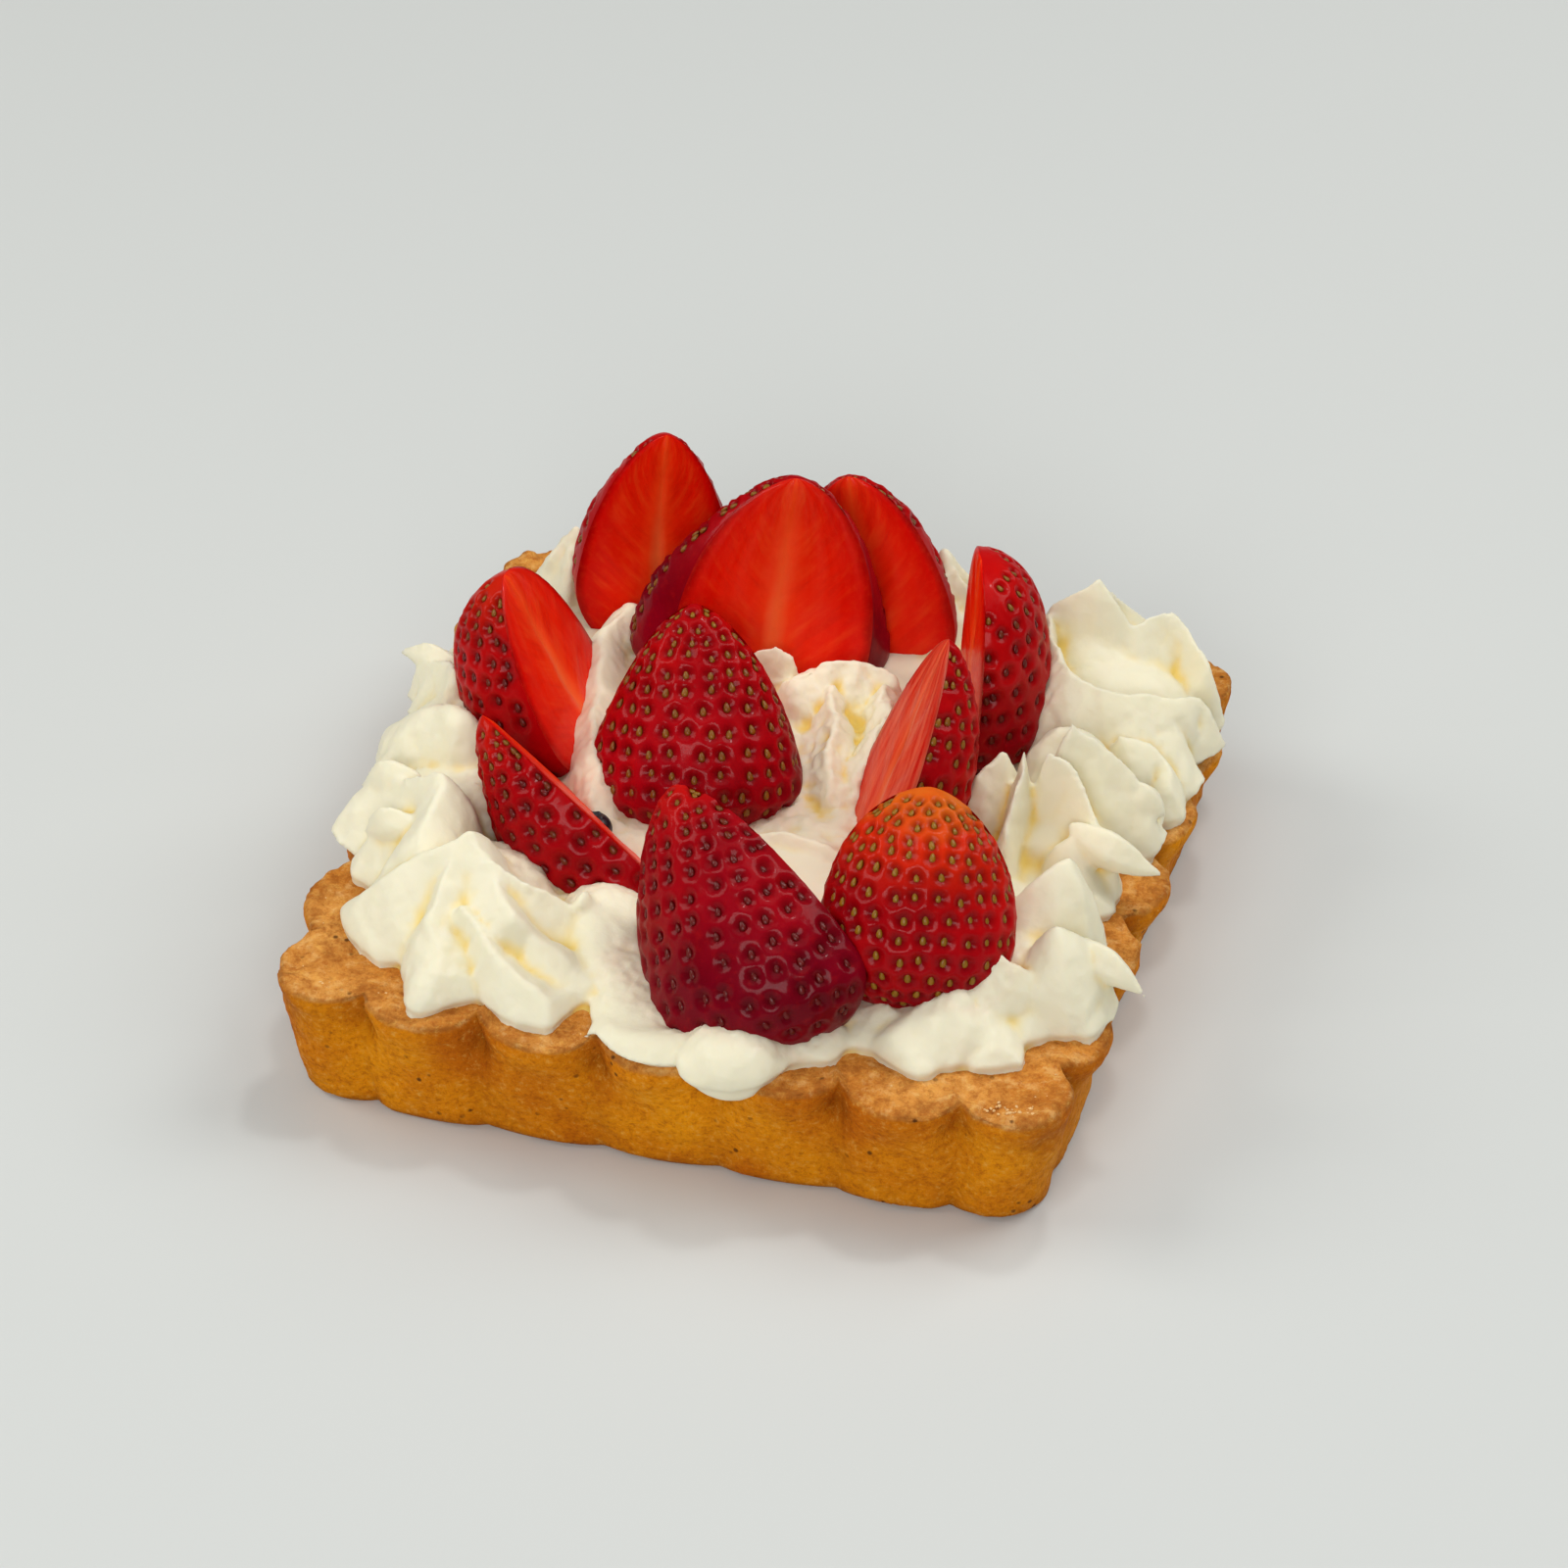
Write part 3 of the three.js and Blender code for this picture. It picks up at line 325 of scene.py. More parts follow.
def flesh_material():
    """The cut face: across is 0 on its middle line and 1 at the skin, along is its height."""
    n = Nodes("strawberry_flesh")
    p = n.coords()
    across, along, berry, pale = (n.attr(k) for k in ("across", "along", "berry", "pale"))
    wobble = n.times(n.math("SUBTRACT", n.noise(p, 260, 2), 0.5), 0.10)
    out = n.math("ADD", across, wobble)
    col = n.ramp(
        out, (0.0, (248, 76, 24)), (0.10, (246, 60, 14)), (0.26, (238, 36, 3)),
        (0.62, (236, 26, 1)), (0.88, (218, 8, 1)), (0.98, (160, 1, 3)))
    # bundles of fibres that fan out from the core, and fine threads along the berry
    fan = n.math("SUBTRACT", along, n.times(across, 0.30))
    rays = n.noise(n.vector(n.times(fan, 20.0), n.times(across, 2.2), berry), 1.0, 3.0, 0.5)
    threads = n.noise(
        n.vector(n.times(across, 8.0), n.times(along, 2.4), berry), 1.0, 5.0, 0.5)
    thread = n.ramp(threads, (0.34, 0), (0.66, 1))
    away = n.ramp(across, (0.08, 0), (0.22, 1), (0.7, 0.8), (0.95, 0))
    core = n.times(n.ramp(out, (0.02, 1), (0.13, 0)),
                   n.ramp(along, (0.12, 0.7), (0.45, 1), (0.8, 0)))
    fine = n.noise(p, 1300, 3, 0.6)
    col = n.layers(
        col,
        (n.times(n.ramp(rays, (0.5, 0), (0.7, 1)), away), 0.34, (250, 92, 34)),
        (n.ramp(n.noise(p, 120, 3, 0.6), (0.45, 0), (0.68, 1)), 0.25, (204, 8, 1)),
        (n.times(n.ramp(rays, (0.34, 1), (0.46, 0)), away), 0.25, (194, 6, 1)),
        (core, 0.4, (246, 128, 66)),
        (n.ramp(fine, (0.5, 0), (0.8, 1)), 0.16, (244, 80, 36)),
        (n.times(pale, n.math("SUBTRACT", 1.0, thread)), 0.6, (158, 26, 18)),
        (n.times(pale, thread), 0.64, (208, 122, 90)))
    n.set(Base_Color=col, Roughness=n.ramp(fine, (0.3, 0.28), (0.7, 0.42)),
          Specular_IOR_Level=0.04, Coat_Weight=0.12, Coat_Roughness=0.12,
          Subsurface_Weight=0.2, Subsurface_Scale=0.0025, Subsurface_Radius=(1.0, 0.2, 0.1))
    fibres = n.bump(rays, 0.35, 0.0004, n.bump(threads, 0.12, 0.0004))
    n.set(Normal=n.bump(fine, 0.25, 0.0002, fibres))
    return n.mat


def seed_material():
    n = Nodes("strawberry_seed")
    mottle = n.noise(n.coords(), 900, 2)
    gold = n.mix(mottle, (158, 110, 16), (122, 84, 14))
    red = n.mix(mottle, (112, 16, 8), (78, 8, 6))
    n.set(Base_Color=n.mix(n.attr("ripe"), gold, red), Roughness=0.36, Specular_IOR_Level=0.3,
          Coat_Weight=0.06, Coat_Roughness=0.15, Normal=n.bump(mottle, 0.3, 0.0001))
    return n.mat


def blueberry_material():
    n = Nodes("blueberry_skin")
    p = n.coords()
    bloom = n.ramp(n.noise(p, 320, 4, 0.6), (0.4, 0), (0.7, 1))
    n.set(Base_Color=n.mix(n.times(bloom, 0.5), (12, 10, 16), (34, 38, 58)),
          Roughness=0.38, Specular_IOR_Level=0.5, Normal=n.bump(n.noise(p, 700), 0.2, 0.0002))
    return n.mat


def crumb_material():
    n = Nodes("crust_crumbs")
    p = n.coords()
    n.set(Base_Color=n.mix(n.noise(p, 500, 2), (214, 158, 84), (238, 206, 150)),
          Roughness=0.7, Normal=n.bump(n.noise(p, 1500), 0.5, 0.0002))
    return n.mat


# Crust
CRUST_TOP = 18.6
FLUTE_PITCH = 15.92
SCALLOP_RADIUS = 9.0
SCALLOP_CENTRE = 45.4
CORNER_RADIUS = 7.2
CORNER_CENTRE = 45.2
NOTCH_ROUNDING = 0.9
PLAIN_HALF = 52.4  # the rounded square that the wall would have without flutes
PLAIN_CORNER = 8.0
SIDE_FLUTES = 0.22  # flutes at the foot, as a share of their depth at the rim
CORNER_FLUTES = 0.45
RIGHT_LEAN = 0.4  # how much more the right-hand wall leans in than the others,
RIGHT_FADE = 0.7  # and how much of its low flutes are lost
CORNER_FLARE = 0.35  # how much more the wall leans in under the corners
LEFT_DENT = (1.3, -26, 15)  # the left side lies in a little: depth, place, reach
NOTCH_START = 53  # a notch is where the rim comes further in than this,
NOTCH_DEPTH = 2.8  # and it is whole this much further in
NICHE = (1.1, 14.6, 2)  # the wall lies back under a notch: depth, height, reach
LIP_RISE = 1.05  # the lip stands up at the notches, here more and there less
LIP_SWAY = 0.5
WANDER = 0.22  # slow unevenness
SIDE_POINTS = 190
# Heights and insets, up the wall and then in over the top from LIP_POINT on
CRUST_PROFILE = [
    (0, 3.1), (0.8, 2.4), (6, 1.7), (12, 0.9), (16.0, 0.15), (17.8, 0.2),
    (18.35, 0.8), (CRUST_TOP, 5.0)]
LIP_POINT = 6
WALL_HEIGHTS = [
    0, 0.2, 0.5, 0.8, *np.arange(1.4, 16.1, 0.56),
    16.4, 16.8, 17.1, 17.4, 17.6, 17.8, 18.0, 18.15, 18.3]
TOP_INSETS = np.arange(1.2, 17.1, 0.5)


def rim_circles():
    """Middles and radii of the scallops: five a side and one at each corner."""
    out = []
    for quarter in range(4):
        c = cos(quarter * pi / 2)
        s = sin(quarter * pi / 2)
        spots = [(k * FLUTE_PITCH, -SCALLOP_CENTRE, SCALLOP_RADIUS) for k in range(-2, 3)]
        spots.append((CORNER_CENTRE, -CORNER_CENTRE, CORNER_RADIUS))
        out += [(x * c - y * s, x * s + y * c, r) for x, y, r in spots]
    return np.array(out)


def rim_distance(dx, dy):
    """How far the scalloped rim is from the middle, in each direction."""
    circles = rim_circles()
    along = circles[:, 0, None] * dx + circles[:, 1, None] * dy
    disc = circles[:, 2, None] ** 2 - (circles[:, 0] ** 2 + circles[:, 1] ** 2)[:, None] + along ** 2
    hit = np.where((along > 0) & (disc > 0), along + np.sqrt(np.maximum(disc, 0)), -1e9)
    best = hit.max(axis=0)
    return best + NOTCH_ROUNDING * np.log(np.exp((hit - best) / NOTCH_ROUNDING).sum(axis=0))


def plain_distance(dx, dy):
    """How far the plain rounded square is from the middle, in each direction."""
    ax, ay = np.abs(dx), np.abs(dy)
    flat = PLAIN_HALF / np.maximum(ax, ay)
    c = PLAIN_HALF - PLAIN_CORNER
    along = c * (ax + ay)
    rounded = along + np.sqrt(np.maximum(PLAIN_CORNER ** 2 - 2 * c * c + along ** 2, 0))
    return np.where(np.minimum(ax, ay) * flat <= c, flat, rounded)


def ripple(x, y, z):
    return (np.sin(0.31 * x + 1.3) * np.sin(0.27 * y - 0.7)
            + 0.6 * np.sin(0.53 * x - 0.41 * y + 0.35 * z)
            + 0.4 * np.sin(0.83 * y + 0.6 * z + 2.1))


def crust_rings():
    """Rings of points from foot to top, and the masks of the material at each point."""
    half = 50.0
    spots = -half + 2 * half * np.arange(SIDE_POINTS) / SIDE_POINTS
    angle = np.concatenate([np.arctan2(-half, spots) + q * pi / 2 for q in range(4)])
    dx, dy = np.cos(angle), np.sin(angle)
    scallop, plain = rim_distance(dx, dy), plain_distance(dx, dy)
    squareness = np.minimum(abs(dx), abs(dy)) / np.maximum(abs(dx), abs(dy))
    corner = np.clip((squareness - 0.72) / 0.08, 0, 1)
    right = np.clip((dx - 0.6) / 0.15, 0, 1)
    lean = 1 + RIGHT_LEAN * np.maximum(0, dx) + CORNER_FLARE * corner
    depth, middle, reach = LEFT_DENT
    dent = depth * np.clip((-dx - 0.6) / 0.2, 0, 1) * np.exp(-((scallop * dy - middle) / reach) ** 2)
    at_rim = np.maximum(np.abs(scallop * dx), np.abs(scallop * dy))
    notch = np.clip((NOTCH_START - at_rim) / NOTCH_DEPTH, 0, 1) * (1 - corner * 0.3)
    lip = (LIP_RISE + LIP_SWAY * np.sin(0.9 * scallop * dx + 1.3 * scallop * dy)) * notch ** 1.4
    low = (SIDE_FLUTES + (CORNER_FLUTES - SIDE_FLUTES) * corner) * (1 - RIGHT_FADE * right)
    back, back_z, back_reach = NICHE
    prof_z, prof_in = np.array(CRUST_PROFILE).T
    levels = [(z, np.interp(z, prof_z, prof_in)) for z in WALL_HEIGHTS]
    levels += [(np.interp(i, prof_in[LIP_POINT:], prof_z[LIP_POINT:]), i) for i in TOP_INSETS]
    rings, masks = [], []
    for z, inset in levels:
        share = low + (1 - low) * smooth(z, 9 + 2.5 * right, 16.8 + 0.3 * right)
        rim = plain + share * (scallop - plain)
        wander = WANDER * clamp(z) * clamp((8.0 - inset) / 3.0) * ripple(rim * dx, rim * dy, z)
        crown = smooth(z, 16.6, 17.6) * (1 - smooth(inset, 0.9, 4.2))
        niche = back * notch * exp(-((z - back_z) / back_reach) ** 2)
        d = rim - inset * (lean if z < 16 else 1) - niche - dent + wander + 0.35 * lip * crown
        rings.append(np.stack([d * dx, d * dy, z + lip * crown + 0.5 * wander * crown], axis=1))
        # painted shade under the lip, strongest under the notches
        under = smooth(z, 12.6, 16.8) * (1 - smooth(z, 17.4, 18))
        masks.append(np.stack([
            np.full(len(dx), smooth(z, 17.4, 18.2)),
            exp(-((z - 18.0) / 0.34) ** 2) * (0.6 + 0.4 * notch),
            # painted shade in the recess under each notch
            notch * exp(-((z - 14.4) / 2.6) ** 2),
            # toasted at the foot, and painted shade in bands down the wall under the notches
            exp(-(z / 1.4) ** 2) + 0.35 * notch * (z < 12),
            under * (0.15 + 0.85 * np.clip(notch * 1.6, 0, 1))], axis=1))
    return rings, masks


def build_crust():
    rings, masks = crust_rings()
    count = len(rings[0])
    faces = grid_faces(len(rings) - 1, count)
    low = len(rings) * count
    high = low + 1
    last = low - count
    for k in range(count):
        nxt = (k + 1) % count
        faces += [(low, nxt, k), (high, last + k, last + nxt)]
    p = np.vstack(rings + [[[0, 0, 0], [0, 0, CRUST_TOP]]])
    tops, edges, hollows, foot_and_band_shade, lip_shades = np.vstack(masks + [np.zeros((2, 5))]).T
    tops[-1] = 1.0
    obj = make_object("crust_baked", p, faces, [crust_material()])
    # slow waves, grains and pits in the baked surface
    z = p[:, 2]
    pits = np.clip(grain(p, 1.4, 2, 3) - 0.45, 0, 1)
    amount = (0.28 * grain(p, 0.16, 3, 1) + (0.11 + 0.07 * tops) * grain(p, 0.75, 3, 2)
              - 0.6 * pits * (1 - 0.3 * tops))
    # the lip is torn along its edge
    lip = np.exp(-((z - 18.1) / 0.9) ** 2) * (1 - smooth(z, 18.58, 18.62) * tops)
    amount += 0.42 * lip * grain(p * np.array([1, 1, 0.4]), 0.42, 3, 4)
    amount *= smooth(z, 0.0, 1.2)
    write_points(obj.data, p + read_points(obj.data, "normal") * amount[:, None])
    # painted shade under the lip, in the notch recesses and pits, and in bands down the wall under
    # the notches; toasting on the edge and at the foot
    attributes(obj, top=tops, edge=edges, foot=np.clip(foot_and_band_shade, 0, 1), under=lip_shades,
               hollow=np.clip(hollows + 0.8 * pits, 0, 1))
    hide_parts("crust")
    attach(obj, "root")


# Strawberries
BERRY_FLOOR = CRUST_TOP + 0.6
ROW_STEP = 0.36
SKIN_COLS = 110
FACE_COLS = 64
DIMPLE = (0.66, 0.9)  # depth and reach of the dip round a seed,
DIMPLE_RIM = (0.07, 1.6, 0.5)  # height, place and reach of the rim round it,
DIMPLE_LIMIT = 3.2  # and how far from the seed the skin is changed at all
SEED_HALF = (0.72, 0.43, 0.28)  # half the length, width and thickness of a seed
SEED_SINK = 0.48
SEED_RINGS = 6
SEED_AROUND = 7
SKIN = skin_material()
FLESH = flesh_material()
# Base and tip of each half, compass angle of its cut face, width, depth, how far the cut
# is past the middle, form of the outline, and the looks: how dark the skin is, how orange
# its tip, how pale the flesh, how far apart the seeds are and how red
PLAIN_BERRY = dict(cut=0, orange=0, pale=0, pitch=3.0)
BERRIES = {
    "back_left": dict(
        base=(-27.9, 36.9, 18), tip=(-24.5, 35.8, 52), face=-68, width=23, depth=0.9, cut=0.3,
        form=(0.3, 1.4, 0.6), dark=0.3, ripe=0.4),
    "back_middle": dict(
        base=(-11, 28.2, 18), tip=(-4.5, 29.2, 53), face=-64, width=36, depth=0.6, cut=0.5,
        form=(0.22, 1.45, 0.6), dark=1.1, pale=0.1, pitch=2.5, ripe=0.5),
    "back_right": dict(
        base=(3.9, 39.3, 13.5), tip=(-0.5, 41, 46.4), face=-80, width=26, depth=0.85, cut=0.35,
        form=(0.3, 1.5, 0.6), dark=0.4, pale=0.05, ripe=0.6),
    "left": dict(
        base=(-27.6, 8.2, 18), tip=(-38.3, 7, 45.6), face=5, width=25, depth=1.08, cut=0.2,
        form=(0.3, 1.9, 0.55), dark=0.4, orange=0.3, pale=0.12, ripe=1.05),
    "right_back": dict(
        base=(21, 22.6, 18), tip=(22.4, 24.2, 48.2), face=199, width=26.5, depth=0.78,
        form=(0.3, 2.6, 0.45), dark=0.45, pitch=3.4, ripe=1.05),
    "centre": dict(
        base=(-9.5, -0.8, 15.5), tip=(-13.2, 10.8, 43.4), face=100, width=29, depth=0.85, cut=0.1,
        form=(0.22, 1.4, 0.64), dark=0.62, pitch=2.75, ripe=0.45),
    "right": dict(
        base=(13.2, -6.2, 18), tip=(22.7, 5.9, 48), face=208, width=21.5, depth=1.08,
        form=(0.3, 1.6, 0.65), dark=0.3, pale=0.8, pitch=2.9, ripe=0.3),
    "left_front": dict(
        base=(-10, -13, 14.8), tip=(-34.7, -13.6, 38), face=28, width=27, depth=1.06,
        form=(0.25, 1.6, 0.72), dark=0.4, orange=0.2, pitch=2.85, ripe=0.95),
    "front": dict(
        base=(14.6, -40.7, 15), tip=(-4.3, -27.4, 43), face=75, width=33, depth=0.8, cut=0.1,
        form=(0.22, 1.45, 0.64), dark=1.05, orange=0.1, pitch=3.15, ripe=1.15),
    "front_right": dict(
        base=(28, -33.4, 20), tip=(27.6, -21.4, 45), face=100, width=25, depth=0.86, cut=0.1,
        form=(0.3, 2.2, 0.6), dark=0.35, orange=1.0, pitch=2.6, ripe=0),
}


def outline(t, form):
    """Half width of a berry at height share t, as a share of its greatest half width."""
    shoulder, fullness, bluntness = form
    t = np.asarray(t, float)
    d = np.clip((shoulder - t) / shoulder, 0, 1)
    s = np.clip((t - shoulder) / (1 - shoulder), 0, 1)
    return np.where(t < shoulder, np.sqrt(1 - 0.75 * d * d),
                    np.power(np.maximum(0, 1 - np.power(s, fullness)), bluntness))


class Berry:
    """The frame and the surface of one strawberry half, in millimetres."""

    def __init__(self, facts, index):
        self.facts = facts
        self.base = np.array(facts["base"], float)
        axis = np.array(facts["tip"], float) - self.base
        self.length = np.linalg.norm(axis)
        self.axis = axis / self.length
        turn = radians(facts["face"])
        face = np.array([cos(turn), sin(turn), 0.0])
        face -= face.dot(self.axis) * self.axis
        self.face = face / np.linalg.norm(face)
        self.across = np.cross(self.face, self.axis)
        self.radius = facts["width"] / 2
        self.rng = random.Random(100 + index)

    def shell(self, t, turn):
        """Point of the uncut outside at height share t; turn 0 to pi is the skin side."""
        r = self.radius * outline(t, self.facts["form"])
        y = t * self.length
        x = r * np.cos(turn)
        z = r * np.sin(turn)
        swell = 1 + 0.025 * np.sin(3 * np.arctan2(z, x) + self.facts["width"] + 0.15 * y)
        return x * swell, y, -z * self.facts["depth"] * swell

    def world(self, x, y, f):
        x, y, f = (np.asarray(v, float)[..., None] for v in (x, y, f))
        return self.base + self.across * x + self.axis * y + self.face * f

    def skin_point(self, t, turn):
        """Point of the skin and its outward direction."""
        e = 1e-3
        p = self.world(*self.shell(t, turn))
        aside = self.world(*self.shell(t, turn + e)) - p
        ahead = self.world(*self.shell(min(1, t + e), turn)) - p
        out = np.cross(ahead, aside)
        out /= np.linalg.norm(out)
        away = p - (self.base + self.axis * t * self.length)
        return p, -out if out.dot(away) < 0 else out

    def rows(self, step):
        """Heights of the rings, evenly spaced along the outline from base to tip."""
        t = np.linspace(0, 1, 800)
        r = self.radius * outline(t, self.facts["form"])
        arc = np.concatenate([[0], np.cumsum(np.hypot(np.diff(t) * self.length, np.diff(r)))])
        count = max(20, int(arc[-1] / step))
        return np.interp(np.linspace(0, arc[-1], count + 1), arc, t)


def seed_spots(berry):
    """Seed places on the skin: staggered rows round the berry, closer near the tip."""
    first_row, last_height = 1.2, 0.985
    edge = 0.16  # no row comes closer to the cut face than this, as an angle
    spots = []
    pitch = berry.facts["pitch"]
    row, arc, last = 0, 0.0, None
    for t in berry.rows(0.25):
        _, y, f = berry.shell(t, pi / 2)
        p = np.array([y, f])
        if last is not None:
            arc += np.linalg.norm(p - last)
        last = p
        near_tip = clamp((t - 0.6) / 0.4)
        if arc < (pitch * (1 - 0.38 * near_tip) if row else first_row):
            continue
        if t > last_height:
            break
        arc = 0.0
        r = berry.radius * float(outline(t, berry.facts["form"]))
        half_round = pi * r * (1 + berry.facts["depth"]) / 2
        n = max(1, int(round(half_round / (pitch * 1.12 * (1 - 0.30 * near_tip)))))
        for k in range(n + 1):
            turn = pi * (k + (0.5 if row % 2 else 0.0)) / n
            turn += berry.rng.uniform(-0.16, 0.16) / n * pi
            high = t + berry.rng.uniform(-0.4, 0.4) / berry.length
            if edge < turn < pi - edge:
                spots.append((high, turn))
        # more seeds are cut through along the edge of the face
        for turn in (0.07, pi - 0.07) if row else ():
            high = t + berry.rng.uniform(-0.9, 0.9) / berry.length
            if berry.rng.random() < 0.8:
                spots.append((min(0.98, high), turn))
        row += 1
    return spots


def berry_grids(berry, rows, index):
    """Points of the skin and of the cut face, row by row."""
    facts = berry.facts
    cut = facts["cut"] * berry.radius * (1 - rows)
    cut = np.clip(cut / np.maximum(
        facts["depth"] * berry.radius * outline(rows, facts["form"]), 1e-6), 0, 0.96)
    u = np.linspace(0, 1, FACE_COLS + 1)
    a = np.abs(2 * u - 1)
    skin, face = [], []
    for t, start in zip(rows, -np.arcsin(cut)):
        x, y, f = berry.shell(t, np.linspace(start, pi - start, SKIN_COLS + 1))
        skin.append(berry.world(x, np.full_like(x, y), f))
        fx = x[0] + (x[-1] - x[0]) * u
        ff = f[0] + (f[-1] - f[0]) * u
        wide = abs(x[-1] - x[0])
        # a groove along the core, low waves, and an edge that is rounded off
        relief = (-0.28 * np.exp(-(a / 0.07) ** 2) * sin(pi * clamp(t * 1.15))
                  * min(1, wide / 8))
        relief += 0.10 * np.sin(7 * (t * 3 - a * 1.6) + index) * (1 - a) * min(1, wide / 8)
        relief += 0.35 * (1 - a ** 10) * min(1, wide / 6)
        face.append(berry.world(fx, np.full_like(fx, y), ff + relief))
    return np.concatenate(skin), np.concatenate(face)


def build_berry(name, facts, index):
    berry = Berry(facts, index)
    rows = berry.rows(ROW_STEP)
    skin, face = berry_grids(berry, rows, index)
    verts = np.vstack([skin, face])
    faces = grid_faces(len(rows) - 1, SKIN_COLS, closed=False)
    mats = [0] * len(faces)
    faces += grid_faces(len(rows) - 1, FACE_COLS, len(skin), closed=False, flip=True)
    mats += [1] * (len(faces) - len(mats))
    # the trimmed base, hidden in the cream
    ring = [*range(SKIN_COLS + 1), *(len(skin) + c for c in range(FACE_COLS - 1, 0, -1))]
    faces.append(ring[::-1])
    mats.append(0)
    # dimples round the seeds, and a mask of painted shade in them
    moved = verts.copy()
    pit = np.zeros(len(verts))
    seeds = []
    depth, reach = DIMPLE
    rise, rim_at, rim_reach = DIMPLE_RIM
    for t, turn in seed_spots(berry):
        p, out = berry.skin_point(t, turn)
        small = 1 - 0.28 * clamp((t - 0.7) / 0.3)
        seeds.append((p, out, small))
        d = np.linalg.norm(skin - p, axis=1)
        near = np.nonzero(d < DIMPLE_LIMIT)[0]
        d = d[near] / small
        dip = rise * np.exp(-((d - rim_at) / rim_reach) ** 2) - depth * np.exp(-(d / reach) ** 2)
        moved[near] += out * dip[:, None]
        # painted shade, deepest at the middle of each dimple
        pit[near] = np.maximum(pit[near], np.exp(-d ** 2))
    lumps = 0.35 * grain(skin, 0.09, 2, index) + 0.07 * grain(skin, 0.5, 2, index + 20)
    out = skin - (berry.base + np.outer((skin - berry.base) @ berry.axis, berry.axis))
    out /= np.maximum(np.linalg.norm(out, axis=1), 1e-6)[:, None]
    fade = np.minimum(1, 6 * np.sin(np.linspace(0, pi, SKIN_COLS + 1)))
    moved[:len(skin)] += out * (lumps * np.tile(fade, len(rows)))[:, None]
    moved[:, 2] = np.maximum(moved[:, 2], BERRY_FLOOR)
    obj = make_object(name + "_half", moved, faces, [SKIN, FLESH], mats)
    # what the materials read: painted shade in the dimples, darker towards the base, orange towards
    # an unripe tip
    high = np.repeat(rows, SKIN_COLS + 1)
    middle_out = np.tile(np.abs(np.linspace(-1, 1, FACE_COLS + 1)), len(rows))
    base_darkening = 1.4 - 1.3 * np.clip(((verts - berry.base) @ berry.axis) / berry.length, 0, 1)
    heat = smooth(high, 0.86 - 0.46 * facts["orange"], 1.06) ** 1.5
    heat *= 1 + 0.3 * grain(skin, 0.2, 2, index + 9)
    attributes(
        obj, pit=pit,
        across=np.concatenate([np.ones(len(skin)), middle_out]),
        along=np.concatenate([high, np.repeat(rows, FACE_COLS + 1)]),
        dark=np.clip(facts["dark"] * base_darkening + 0.25 * grain(verts, 0.06, 2, index + 5), 0, 1),
        tip=np.clip(np.append(heat, np.zeros(len(face))) * facts["orange"], 0, 1),
        pale=np.full(len(verts), facts["pale"]),
        berry=np.full(len(verts), index * 3.7))
    weld(obj, dist=2e-6, outward=True)
    obj.data.set_sharp_from_angle(angle=radians(48))
    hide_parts(name)
    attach(obj, "root")
    return berry, seeds


def build_seeds(all_seeds):
    """One mesh of teardrop seeds, each lying in its dimple and pointing to the tip."""
    rng = random.Random(7)
    half_long, half_wide, half_thick = SEED_HALF
    verts, faces, ripe = [], [], []
    for berry, seeds in all_seeds:
        for p, out, small in seeds:
            long = berry.axis - berry.axis.dot(out) * out
            long /= np.linalg.norm(long)
            twist = rng.uniform(-0.2, 0.2)
            long = long * cos(twist) + np.cross(out, long) * sin(twist)
            side = np.cross(out, long)
            s = small * rng.uniform(0.9, 1.1)
            middle = p - out * SEED_SINK * small
            if middle[2] < BERRY_FLOOR + 0.8:
                continue
            faces += grid_faces(SEED_RINGS, SEED_AROUND, len(verts))
            for r in range(SEED_RINGS + 1):
                v = -1 + 2 * r / SEED_RINGS
                w = sqrt(max(0, 1 - v * v)) * (1 - 0.32 * v)
                for c in range(SEED_AROUND):
                    a = 2 * pi * c / SEED_AROUND
                    verts.append(middle + long * half_long * s * v
                                 + side * half_wide * s * w * cos(a)
                                 + out * half_thick * s * w * sin(a))
            # seeds redden with the skin, last of all at the tip
            high = float(smooth((p - berry.base) @ berry.axis / berry.length, 0.72, 0.98))
            tone = clamp(berry.facts["ripe"] * (1 - 0.75 * high) + rng.uniform(-0.15, 0.15))
            ripe += [tone] * ((SEED_RINGS + 1) * SEED_AROUND)
    obj = make_object("strawberry_seeds", np.array(verts), faces, [seed_material()])
    attributes(obj, ripe=ripe)
    weld(obj)
    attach(obj, "root")


